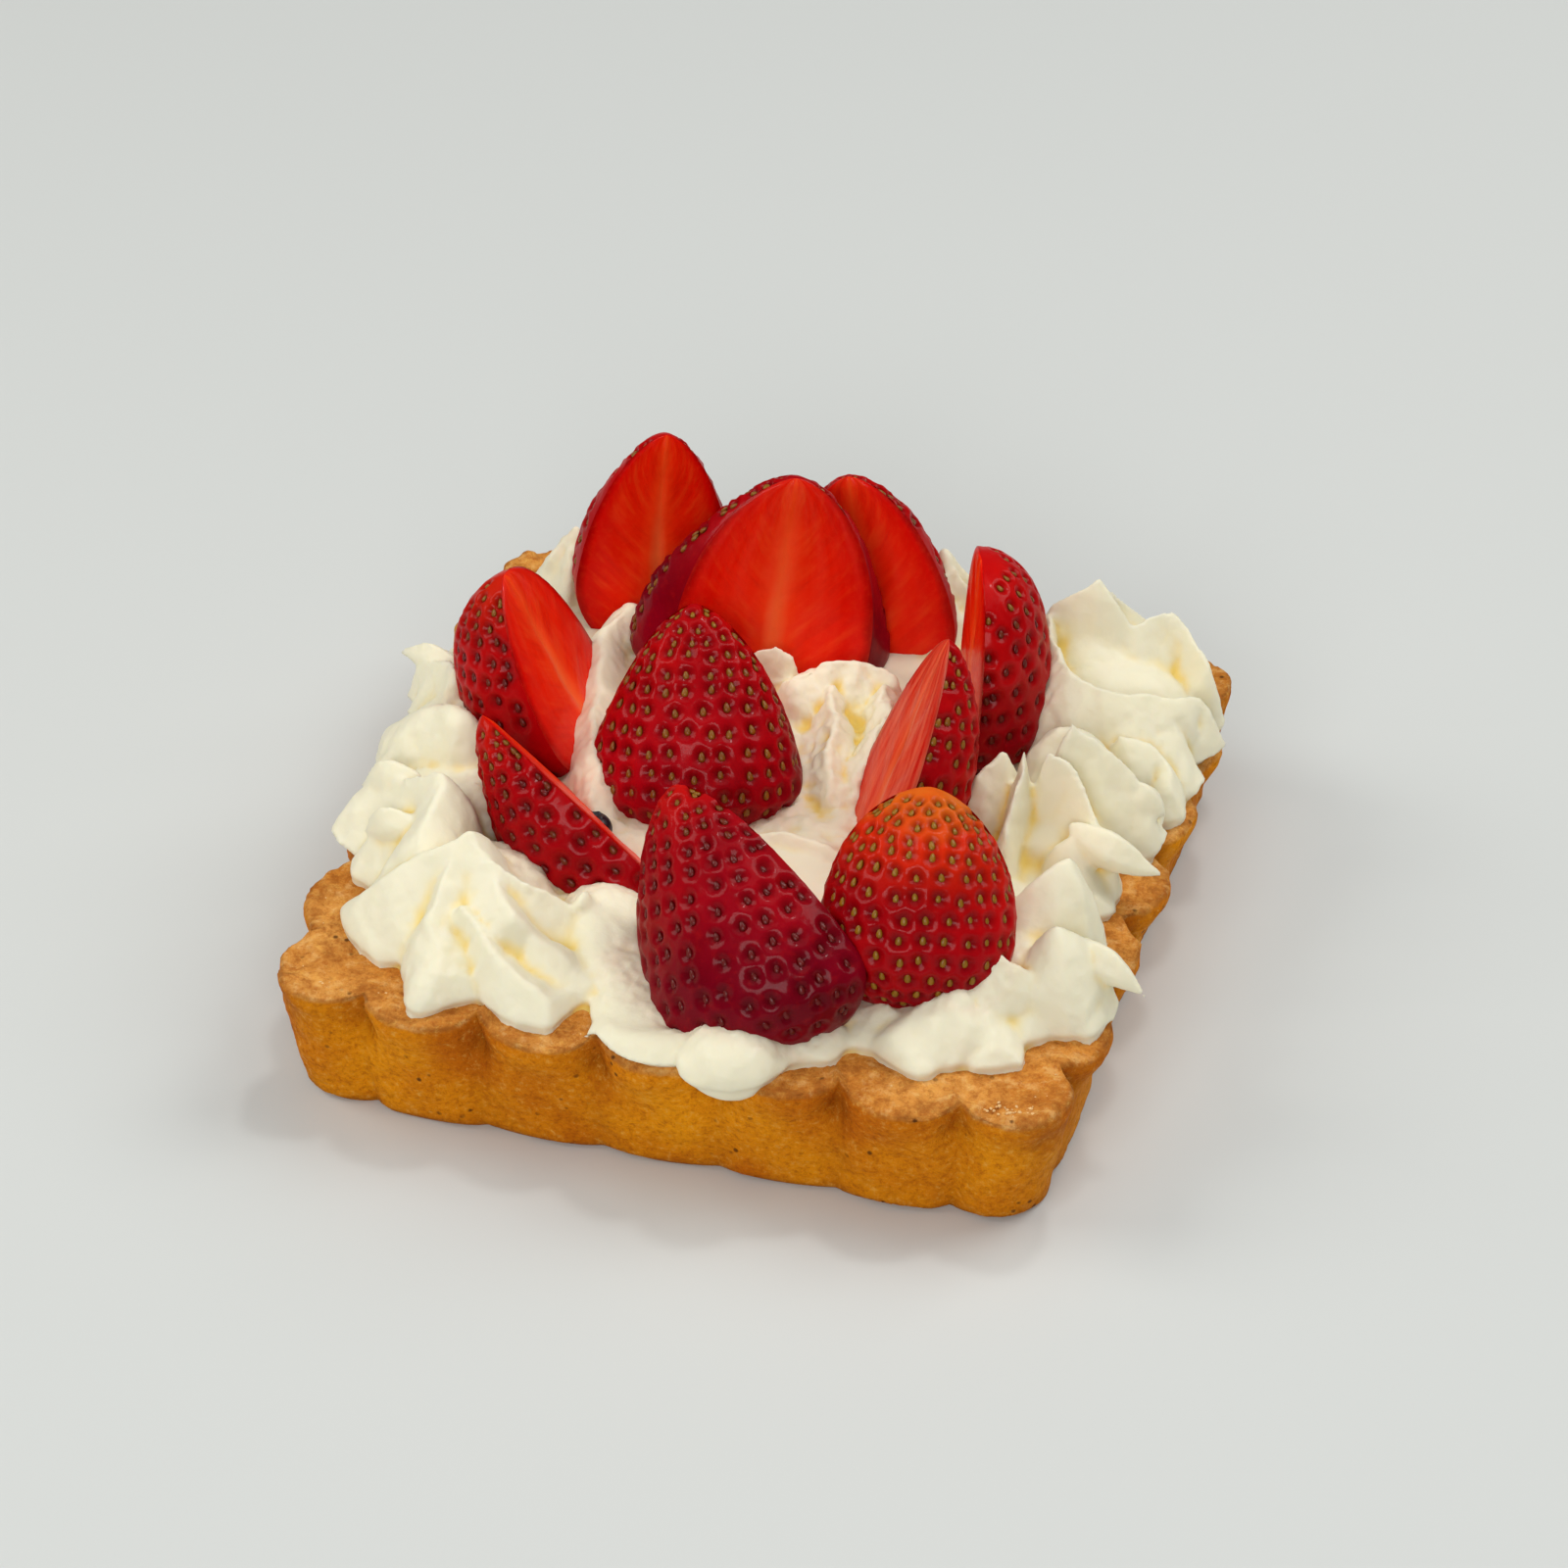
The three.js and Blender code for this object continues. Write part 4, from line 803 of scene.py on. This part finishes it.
# Cream
# Crest lines of the piped cream, by rosette. Each one: start, middle, end, how far its
# flank reaches on the left and on the right of the way out, and how sharp it is
CRESTS = [
    # front left
    ((-30.6, -31.8, 33), (-39.6, -34.3, 29), (-44.2, -37.7, 23), 9, 4, 0.5),
    ((-31.1, -33.7, 31.5), (-34.3, -43.9, 26.3), (-29.3, -49.7, 23.6), 9, 4.2, 0.6),
    ((-28.5, -41.1, 28.6), (-22.5, -47.4, 25.2), (-14.8, -48.6, 22.6), 8, 3.2, 0.8),
    ((-27, -35.1, 31.5), (-20.5, -34.1, 29), (-15.7, -32.2, 24.6), 3.5, 6, 0.7),
    ((-19.2, -40.3, 26), (-14.6, -40.6, 24.4), (-12.6, -43.6, 22), 4, 4, 0.3),
    ((-30.6, -31.8, 33), (-26.9, -34.4, 31), (-22.2, -40.9, 29), 6, 6, 0.3),
    # front edge
    ((-15.4, -29.9, 25), (-9.8, -39.4, 23.4), (-4.7, -49, 21.4), 9, 4.6, 0.1),
    ((-6.1, -50.5, 21.6), (1.8, -51.8, 22.2), (9.6, -50, 22.2), 4, 3.6, 0.1),
    ((18.6, -41.4, 21.6), (18.8, -42.9, 21.2), (19.8, -46.3, 21), 3.4, 3.4, 0.3),
    ((9.6, -50, 22.2), (15.7, -46.9, 21.8), (20.3, -42.7, 21.4), 3.6, 3.6, 0.1),
    ((26.9, -38.9, 23.4), (24.9, -40.5, 22), (24.3, -42.7, 21.4), 4, 3.2, 0.5),
    # front right
    ((35.9, -37.1, 27), (30.9, -38.2, 24.4), (28.8, -43.8, 22.6), 6.5, 5, 0.5),
    ((33.7, -40.7, 24.4), (35.9, -40.8, 22.8), (36.5, -41.1, 21.8), 4, 4, 0.4),
    ((39.4, -32.2, 29.5), (44.5, -31.8, 26.4), (46, -34.1, 22.6), 3.2, 9, 0.8),
    ((38, -33.3, 28.5), (40, -37.1, 24.8), (41.3, -41.8, 22), 5, 4.5, 0.7),
    ((45.3, -27.3, 31.5), (49.8, -23.8, 28.5), (53.4, -24.8, 23.4), 3.6, 8.5, 0.5),
    ((47.2, -27.6, 28.5), (49.5, -28.3, 24.8), (49.8, -31.7, 22), 4, 5, 0.6),
    ((40, -21.2, 30), (42.6, -20.2, 34), (45.6, -17.9, 34.5), 4.5, 6, 0.3),
    ((45.7, -17.8, 34.5), (44.3, -20.6, 32), (43.8, -23.4, 28.5), 5, 5.5, 0.5),
    ((45.7, -17.8, 34.5), (47.5, -16.9, 32), (48.9, -19.1, 25.5), 3, 5.5, 0.6),
    # right
    ((39.2, 6.8, 37.5), (45.3, 8.1, 33.5), (50.2, 7.7, 25.5), 3.2, 5.4, 0.8),
    ((37.4, 2.5, 36.5), (42.7, 2.4, 34.5), (46.9, -4.1, 25.5), 2.8, 3.4, 1),
    ((34.8, 2.7, 35.5), (34, -3.2, 32), (33.3, -7.2, 26.5), 2.6, 3, 1),
    ((31, 4.2, 33.5), (28.7, 1.1, 31), (27.1, -0.9, 27), 4, 4, 0.5),
    ((41.5, -4.7, 27.5), (44.6, -6.4, 25.4), (46, -8.1, 22), 4, 4, 0.5),
    ((37.6, 10.8, 33), (37.6, 6.9, 27), (38.4, 1.6, 23), 7, 7, 0),
    # right back
    ((29, 33.1, 35), (37.1, 13.8, 34.5), (49.3, 27.3, 30), 3.2, 8.5, 0.8),
    ((49.3, 27.3, 30), (52.6, 31.3, 28.5), (52.8, 26.5, 24.5), 3, 6, 0.6),
    ((35.6, 36.4, 40), (37.9, 35.1, 37.5), (40.7, 35.2, 33.5), 4.5, 4.5, 0.5),
    ((40.7, 35.2, 33.5), (46.6, 43.8, 35.5), (51.2, 36, 29.5), 2.5, 6.5, 0.7),
    ((35.6, 36.4, 40), (30.7, 36.6, 37), (28.5, 32.4, 33), 5, 5, 0.5),
    ((43.9, 16.7, 29), (49.6, 21.3, 27.5), (50.9, 15, 23.6), 2.8, 5.5, 0.7),
    # left
    ((-37.8, -20.8, 33.5), (-45, -18.6, 29.5), (-50.3, -16.2, 25), 7, 2.8, 0.8),
    ((-36.9, -26.1, 31.5), (-42.5, -26.2, 28), (-46.9, -24.4, 24), 5.5, 2.8, 0.8),
    ((-41.9, -6.3, 33), (-48.1, -4.3, 30), (-51.2, -4.7, 26), 7, 6, 0.1),
    ((-37.8, -20.8, 33.5), (-37.7, -25.9, 32), (-37.7, -31.9, 30), 6, 6, 0.3),
    # left back
    ((-44.3, 3.6, 32), (-48.9, 8, 29.5), (-52.8, 10.8, 27), 3, 3.4, 0.9),
    # middle
    ((-7.4, 18.4, 31), (-4.7, 19.5, 34), (-2.1, 20.9, 31), 4, 4, 0.9),
    ((-1.1, 17.3, 29.5), (4.3, 21.2, 33), (11.6, 21.9, 28.5), 5, 7, 0.6),
    ((11.2, 18.5, 29.5), (12.4, 8.1, 29), (10.6, 2.6, 24.5), 5, 5, 0.6),
    ((4, 16.4, 29.5), (6.1, 6.3, 29), (8.8, 1.5, 24), 5, 4.4, 0.7),
    ((0.4, -11.1, 24), (7.7, -12.1, 28.5), (15.4, -12.8, 24), 4.5, 6, 0.8),
    ((-28.4, 11.4, 26.5), (-21.8, -3.2, 28.5), (-21.4, -9.9, 24.5), 5, 5, 0.4),
    ((-28, 28, 29), (-29.2, 19.3, 29), (-27.4, 11, 27), 5, 5, 0.4),
]
# Tips that are drawn out past a rosette: start, middle, end, half width, how pointed,
# and how thick as a share of the width
TIPS = [
    ((45.2, 7.7, 27.6), (49.6, 7.9, 26), (52.4, 8.3, 23.2), 2.6, 1, 0.9),
    ((41.2, -2.4, 28), (48.4, -5.2, 25.4), (55.2, -2.8, 22.6), 3.6, 1, 0.8),
    ((47.6, -24.4, 27.5), (53.6, -27.2, 25.2), (58.2, -28.2, 22.8), 3.0, 1, 0.8),
    ((46, 11, 25.8), (49.8, 10.5, 24), (51.9, 9.4, 21.6), 2.3, 1, 0.9),
    ((-42, -17.2, 29), (-47.9, -16, 26.4), (-51.8, -15, 24), 3.2, 1, 0.9),
    ((-39.6, -25.4, 28), (-44.9, -24.5, 25.6), (-48.6, -23.4, 23), 3.1, 1, 0.9),
    ((-45.5, 8.8, 28), (-50.8, 11.4, 27), (-56.4, 12.6, 26), 2.7, 1, 0.8),
    ((-15.8, -33.4, 25.5), (-15.4, -31.5, 24.6), (-15, -29.9, 23.8), 1.8, 0.9, 1),
    ((6, -43.5, 20.4), (10.8, -52.2, 22.6), (12.4, -54.8, 16.6), 9, 0, 0.42),  # over the rim
]
# Rosettes at the back: middle, height of the peak, radius
BACK_ROSETTES = [
    (-42, 17, 31, 12.5), (-38.7, 41, 31, 9.4), (-15, 45.5, 31, 10), (12, 45.5, 34, 10.5),
    (35.6, 37.5, 39, 14)]
OVERHANG = 1.6
# Smooth mounds that carry the folds: middle, height, radius
MOUNDS = [
    (-32, -31, 27, 13), (-39, -13, 27, 11), (-42, 3, 27, 10), (40, -25, 26.5, 11),
    (38, 5, 27, 10), (38, 32, 30, 13), (4, 13, 25, 14), (-24, 22, 25, 12), (8, -18, 25, 12),
    (28, -12, 25, 10), (22, 32, 26, 10)]
RIDGE_END = 2.4  # how far a ridge runs on past its last point
CREST = 0.25  # how much higher a drawn-out tip is along its middle
FURROWS = 0.035
BED = CRUST_TOP - 0.4  # where the cream starts, just inside the crust
FIELD_LOW = 21.6  # the least height of the cream, out to this half width
FIELD_HALF = 43.5
BLEND = 0.3  # how softly ridges and mounds run together
GRID = 0.4
GRID_REACH = 62.0
VOXEL = 0.42


def bezier(a, b, c, t):
    """Points of a curve over three points, and its directions there."""
    a, b, c = (np.array(v, float) for v in (a, b, c))
    t = np.asarray(t)[:, None]
    return (1 - t) ** 2 * a + 2 * t * (1 - t) * b + t * t * c, (
        2 * (1 - t) * (b - a) + 2 * t * (c - b))


def fold(start, middle, end, width, point, blade, thick, phase):
    """Closed ridge of cream along a curve: blade sharpens its crest, thick is its height."""
    rows, around = 34, 44
    polar = np.linspace(0, pi, rows + 1)
    t = polar / pi
    centre, tangent = bezier(start, middle, end, t)
    tangent /= np.linalg.norm(tangent, axis=1)[:, None]
    side = np.cross(tangent, [0, 0, 1.0])
    side /= np.linalg.norm(side, axis=1)[:, None]
    out = np.cross(side, tangent)
    ends = np.power(np.maximum(0, np.sin(polar)), 0.55)
    drawn = 1 - point * np.power(np.clip((t - 0.35) / 0.65, 0, 1), 1.2)
    size = (width * ends * (0.72 + 0.35 * t) * drawn)[:, None]
    turn = 2 * pi * np.arange(around) / around
    c, s = np.cos(turn), np.sin(turn)
    above = np.maximum(0, c)
    crest = 1 + (CREST + 0.3 * blade) * above ** 3
    furrow = 1 + FURROWS * (1 - 0.5 * blade) * np.cos(7 * turn[None, :] + phase + 2.2 * t[:, None])
    across = 0.88 * np.sign(s) * np.abs(s) ** (1 + 1.1 * blade * above)
    verts = (centre[:, None, :]
             + out[:, None, :] * (size * crest * thick * c * furrow)[:, :, None]
             + side[:, None, :] * (size * across * furrow)[:, :, None])
    return verts.reshape(-1, 3), grid_faces(rows, around)


def ridge_height(x, y, crest):
    """Points that the ridge reaches, and its height over them."""
    start, middle, end, left, right, blade = crest
    steps = 16
    line, _ = bezier(start, middle, end, np.linspace(0, 1, steps + 1))
    reach = max(left, right)
    near = np.nonzero((x > line[:, 0].min() - reach) & (x < line[:, 0].max() + reach)
                      & (y > line[:, 1].min() - reach) & (y < line[:, 1].max() + reach))[0]
    px, py = x[near], y[near]
    best = np.full(len(near), 1e9)
    lean = np.zeros(len(near))
    top = np.zeros(len(near))
    for a, b in zip(line, line[1:]):
        dx, dy = b[0] - a[0], b[1] - a[1]
        t = np.clip(((px - a[0]) * dx + (py - a[1]) * dy) / (dx * dx + dy * dy + 1e-9), 0, 1)
        ox, oy = px - a[0] - t * dx, py - a[1] - t * dy
        d = np.hypot(ox, oy)
        side = (ox * dy - oy * dx) / np.maximum(d * hypot(dx, dy), 1e-9)
        hit = d < best
        best = np.where(hit, d, best)
        lean = np.where(hit, side, lean)
        top = np.where(hit, a[2] + t * (b[2] - a[2]), top)
    width = 0.5 * (left + right) + 0.5 * (right - left) * lean
    run = line[-1] - line[-2]
    run = run[:2] / np.hypot(run[0], run[1])
    beyond = np.maximum(0, (px - line[-1][0]) * run[0] + (py - line[-1][1]) * run[1])
    across = np.sqrt(np.maximum(best ** 2 - beyond ** 2, 0))
    u = np.clip(np.hypot(across / width, beyond / np.minimum(width, RIDGE_END)), 0, 1)
    sharp = 0.6 * blade
    shape = sharp * (1 - u) ** 1.4 + (1 - sharp) * np.sqrt(np.maximum(0, 1 - u * u))
    return near, np.where(u < 1, BED + (top - BED) * shape, -99.0)


def piped_rosette(x, y, height, radius):
    """Crest lines of a rosette piped with a star tip: ridges that turn as they rise."""
    out = []
    count, foot, twist = 8, 22, 0.35
    for k in range(count):
        a = 2 * pi * (k + 0.15 * sin(2.4 * k + x)) / count
        r = radius - 3.2 + 0.7 * sin(1.7 * k + y)
        mid = 0.62 * r
        out.append((
            (x, y, height),
            (x + mid * cos(a - twist), y + mid * sin(a - twist),
             height - 0.35 * (height - foot)),
            (x + r * cos(a), y + r * sin(a), foot + 0.4), 3.0, 4.6, 0.9))
    return out


def cream_field(x, y):
    """Height of the cream over the crust at each point, from its crests and mounds."""
    level = 25  # keeps the sums of the soft maximum small
    inside = np.maximum(np.abs(x), np.abs(y))
    flat = BED + (FIELD_LOW - BED) * np.sqrt(np.clip((FIELD_HALF - inside) / 4, 0, 1))
    total = np.exp((flat - level) / BLEND) * (inside < FIELD_HALF)
    crests = list(CRESTS)
    for bx, by, bz, radius in BACK_ROSETTES:
        new = piped_rosette(bx, by, bz, radius)
        # two of them stand partly where the photo shows other ridges
        if bx > 30:
            new = [c for c in new if c[2][1] > 42]
        elif bx < -30 and by < 20:
            new = [c for c in new if c[2][1] > 14]
        crests += new
    for crest in crests:
        near, h = ridge_height(x, y, crest)
        total[near] += np.exp((h - level) / BLEND)
    mounds = MOUNDS + [(bx, by, bz - 6, r * 0.8) for bx, by, bz, r in BACK_ROSETTES]
    for mx, my, mz, radius in mounds:
        u = np.hypot(x - mx, y - my) / radius
        h = BED + (mz - BED) * np.sqrt(np.clip(1 - u * u, 0, 1))
        total += np.exp((h - level) / BLEND) * (u < 1)
    return level + BLEND * np.log(np.maximum(total, 1e-30))


def field_solid():
    """The field as a closed mesh, its underside just below the top of the crust."""
    axis = np.arange(-GRID_REACH, GRID_REACH + GRID, GRID)
    n = len(axis)
    gx, gy = np.meshgrid(axis, axis)
    x, y = gx.ravel(), gy.ravel()
    flat = np.stack([x, y, np.zeros_like(x)], axis=1)
    # the crest lines waver a little
    wx = 0.5 * np.sin(0.33 * y + 1) + 0.3 * np.sin(0.71 * y - 0.4 * x)
    wy = 0.5 * np.sin(0.36 * x + 2) + 0.3 * np.sin(0.67 * x + 0.45 * y + 1)
    wx += 0.25 * grain(flat, 0.45, 2, 32)
    wy += 0.25 * grain(flat, 0.45, 2, 34)
    top = cream_field(x + wx, y + wy)
    d = np.hypot(x, y) + 1e-9
    past = d - rim_distance(x / d, y / d)
    low = 17.9 + 2.6 * smooth(past, -1.6, 1.2)
    # past the rim the cream rounds off and ends
    rest = np.clip((OVERHANG - past) / 3, 0, 1)
    top = low + (top - low) * np.sqrt(rest * (2 - rest))
    top = np.where(top > low + 0.05, top, low)
    solid = (top > low).reshape(n, n)
    cell = solid[:-1, :-1] | solid[1:, :-1] | solid[:-1, 1:] | solid[1:, 1:]
    r, c = np.nonzero(cell)
    a = r * n + c
    quads = np.stack([a, a + 1, a + n + 1, a + n], axis=1)
    verts = np.vstack([np.stack([x, y, top], 1), np.stack([x, y, low], 1)])
    faces = np.vstack([quads, quads[:, ::-1] + n * n])
    used, inverse = np.unique(faces, return_inverse=True)
    return verts[used], inverse.reshape(-1, 4).tolist()


def stain_near(p, berries):
    """How strongly berry juice marks the cream at each point, 0 to 1."""
    stain = np.zeros(len(p))
    for b in berries:
        rel = p - b.base
        y = rel @ b.axis
        r = b.radius * outline(np.clip(y / b.length, 0, 1), b.facts["form"])
        x = rel @ b.across
        f = rel @ b.face
        d = np.hypot(np.maximum(np.abs(x) - r, 0), np.maximum(f - 1, 0) + np.maximum(
            -f - r * b.facts["depth"], 0)) + np.maximum(-y, 0) + np.maximum(y - b.length, 0)
        stain = np.maximum(stain, np.exp(-(d / 1.8) ** 2))
    return stain


def hollows(mesh, p, n):
    """How far each point lies below the mesh's own smoothed form, in millimetres."""
    rounds, pull = 40, 0.6
    ends = np.empty(len(mesh.edges) * 2, np.int64)
    mesh.edges.foreach_get("vertices", ends)
    a, b = ends.reshape(-1, 2).T
    degree = np.bincount(ends, minlength=len(p)).astype(float)[:, None]
    s = p.copy()
    for _ in range(rounds):
        total = np.stack([
            np.bincount(a, s[b, k], len(p)) + np.bincount(b, s[a, k], len(p))
            for k in range(3)], axis=1)
        s = (1 - pull) * s + pull * total / degree
    return ((s - p) * n).sum(axis=1)


def build_cream(berries):
    rng = random.Random(3)
    verts, faces = field_solid()
    for a, b, c, width, point, thick in TIPS:
        blade = 0.6 if point else 0.0
        more, quads = fold(a, b, c, width, point, blade, thick, rng.uniform(0, 6))
        faces += [tuple(i + len(verts) for i in q) for q in quads]
        verts = np.concatenate([verts, more])
    obj = make_object("cream_piped", verts, faces, [cream_material()])
    weld(obj, outward=True)
    remesh = obj.modifiers.new("fuse", "REMESH")
    remesh.mode = "VOXEL"
    remesh.voxel_size = VOXEL * MM
    relax = obj.modifiers.new("relax", "SMOOTH")
    relax.factor = 0.5
    relax.iterations = 2
    apply_modifiers(obj)
    mesh = obj.data
    mesh.shade_smooth()
    p = read_points(mesh, "co") / MM
    n = read_points(mesh, "normal")
    stain = stain_near(p, berries)
    soft = grain(p, 0.32, 3, 12)
    tear = grain(p * np.array([1.0, 1.0, 0.45]), 0.9, 2, 13)
    # between the berries the cream is torn and flaky
    middle = np.exp(-((p[:, 0] - 4) / 17) ** 4 - ((p[:, 1] - 8) / 17) ** 4)
    flakes = np.abs(grain(p * np.array([1.0, 1.0, 0.6]), 0.3, 3, 14))
    ragged = np.maximum(middle, 0.35 * smooth(grain(p, 0.05, 2, 15), 0.1, 0.5))
    move = 0.16 * soft + (0.05 + 0.2 * stain) * tear + ragged * (0.3 - 1.15 * flakes)
    q = p + n * (move * smooth(p[:, 2], 18.9, 20.5))[:, None]
    # it rests on a foot that is drawn in a little
    q[:, :2] -= n[:, :2] * (0.75 * (1 - smooth(p[:, 2], 18.6, 20.1)))[:, None]
    write_points(mesh, q)
    # painted shade in the hollows between the folds, and juice stain near the berries
    attributes(obj, hollow=smooth(hollows(mesh, q, n), 0.04, 0.75), stain=stain)
    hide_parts("cream")
    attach(obj, "root")


# Blueberry and crumbs
def build_blueberry():
    centre = np.array([-20, -12.5, 21.7])
    radius = 2.3
    rows, around = 48, 64
    verts = []
    for r in range(rows + 1):
        el = -pi / 2 + pi * r / rows
        from_top = pi / 2 - el
        # the crown: a shallow cup at the top with a five-pointed lip
        cup = -0.5 * exp(-(from_top / 0.20) ** 2)
        lip = 0.22 * exp(-((from_top - 0.42) / 0.09) ** 2)
        for c in range(around):
            a = 2 * pi * c / around
            k = radius + cup + lip * (0.6 + 0.4 * cos(5 * a))
            verts.append(centre + k * np.array([
                cos(el) * cos(a), cos(el) * sin(a), sin(el)]))
    faces = grid_faces(rows, around)
    obj = make_object("blueberry_round", np.array(verts), faces, [blueberry_material()])
    weld(obj)
    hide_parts("blueberry")
    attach(obj, "root")


def build_crumbs():
    """Loose crumbs and sugar grains on the rim, most of them at the front right corner."""
    count, at_corner = 130, 45
    rng = random.Random(5)
    bm = bmesh.new()
    for k in range(count):
        if k < at_corner:
            x = rng.uniform(42.5, 50.5)
            y = -50.4 + 0.35 * max(0, x - 46) + abs(rng.gauss(0, 1.1))
        else:
            a = rng.uniform(0, 2 * pi)
            d = float(plain_distance(np.array([cos(a)]), np.array([sin(a)]))[0])
            d -= rng.uniform(2.2, 5)
            x, y = d * cos(a), d * sin(a)
        size = rng.uniform(0.08, 0.3) * rng.uniform(0.7, 1.2)
        m = Matrix.Translation(Vector((x, y, CRUST_TOP + 0.02)) * MM) @ Matrix.Rotation(
            rng.uniform(0, 6), 4, "Z") @ Matrix.Diagonal((1, rng.uniform(0.6, 1), 0.7, 1))
        bmesh.ops.create_icosphere(bm, subdivisions=1, radius=size * MM, matrix=m)
    mesh = bpy.data.meshes.new("crust_crumbs")
    bm.to_mesh(mesh)
    bm.free()
    mesh.materials.append(crumb_material())
    obj = put("crust_crumbs", mesh)
    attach(obj, "root")


build_crust()
pairs = [build_berry("strawberry_" + name, {**PLAIN_BERRY, **facts}, i)
         for i, (name, facts) in enumerate(BERRIES.items())]
build_seeds(pairs)
build_cream([berry for berry, _ in pairs])
build_blueberry()
build_crumbs()

# Floor and light
floor_mesh = bpy.data.meshes.new("floor")
floor_mesh.from_pydata([(-3, -3, 0), (3, -3, 0), (3, 3, 0), (-3, 3, 0)], [], [(0, 1, 2, 3)])
floor = put("floor", floor_mesh)
paper = Nodes("pale_floor")
paper.set(Base_Color=(205, 208, 206), Roughness=0.55, Specular_IOR_Level=0.3)
floor_mesh.materials.append(paper.mat)

# Soft boxes: place and size in metres, power in watts, colour
LIGHTS = {
    "window": ((0.55, 0.45, 0.75), (0.6, 0.6), 4.6, (1.0, 0.99, 0.97)),
    "lamp": ((0.12, 0.3, 0.9), (0.11, 0.11), 1.2, (1.0, 0.99, 0.98)),
    "left_fill": ((-0.7, -0.1, 0.6), (0.5, 0.5), 3.4, (1.0, 0.99, 0.95)),
    "front_fill": ((0.1, -0.9, 0.6), (0.7, 0.4), 5.5, (1.0, 1.0, 1.0)),
    "overhead": ((0.05, 0.1, 1.2), (1.0, 1.0), 2.2, (1.0, 1.0, 1.0)),
}
AIM = Vector((0, 0, 0.02))
for name, (place, size, power, colour) in LIGHTS.items():
    data = bpy.data.lights.new(name, "AREA")
    data.shape = "RECTANGLE"
    data.size, data.size_y = size
    data.energy = power
    data.color = colour
    light = put(name, data)
    light.location = place
    light.rotation_euler = (AIM - Vector(place)).to_track_quat("-Z", "Y").to_euler()
world = bpy.data.worlds.new("studio")
bpy.context.scene.world = world
world.use_nodes = True
background = world.node_tree.nodes["Background"]
background.inputs["Color"].default_value = (0.98, 0.985, 0.97, 1)
background.inputs["Strength"].default_value = 0.13
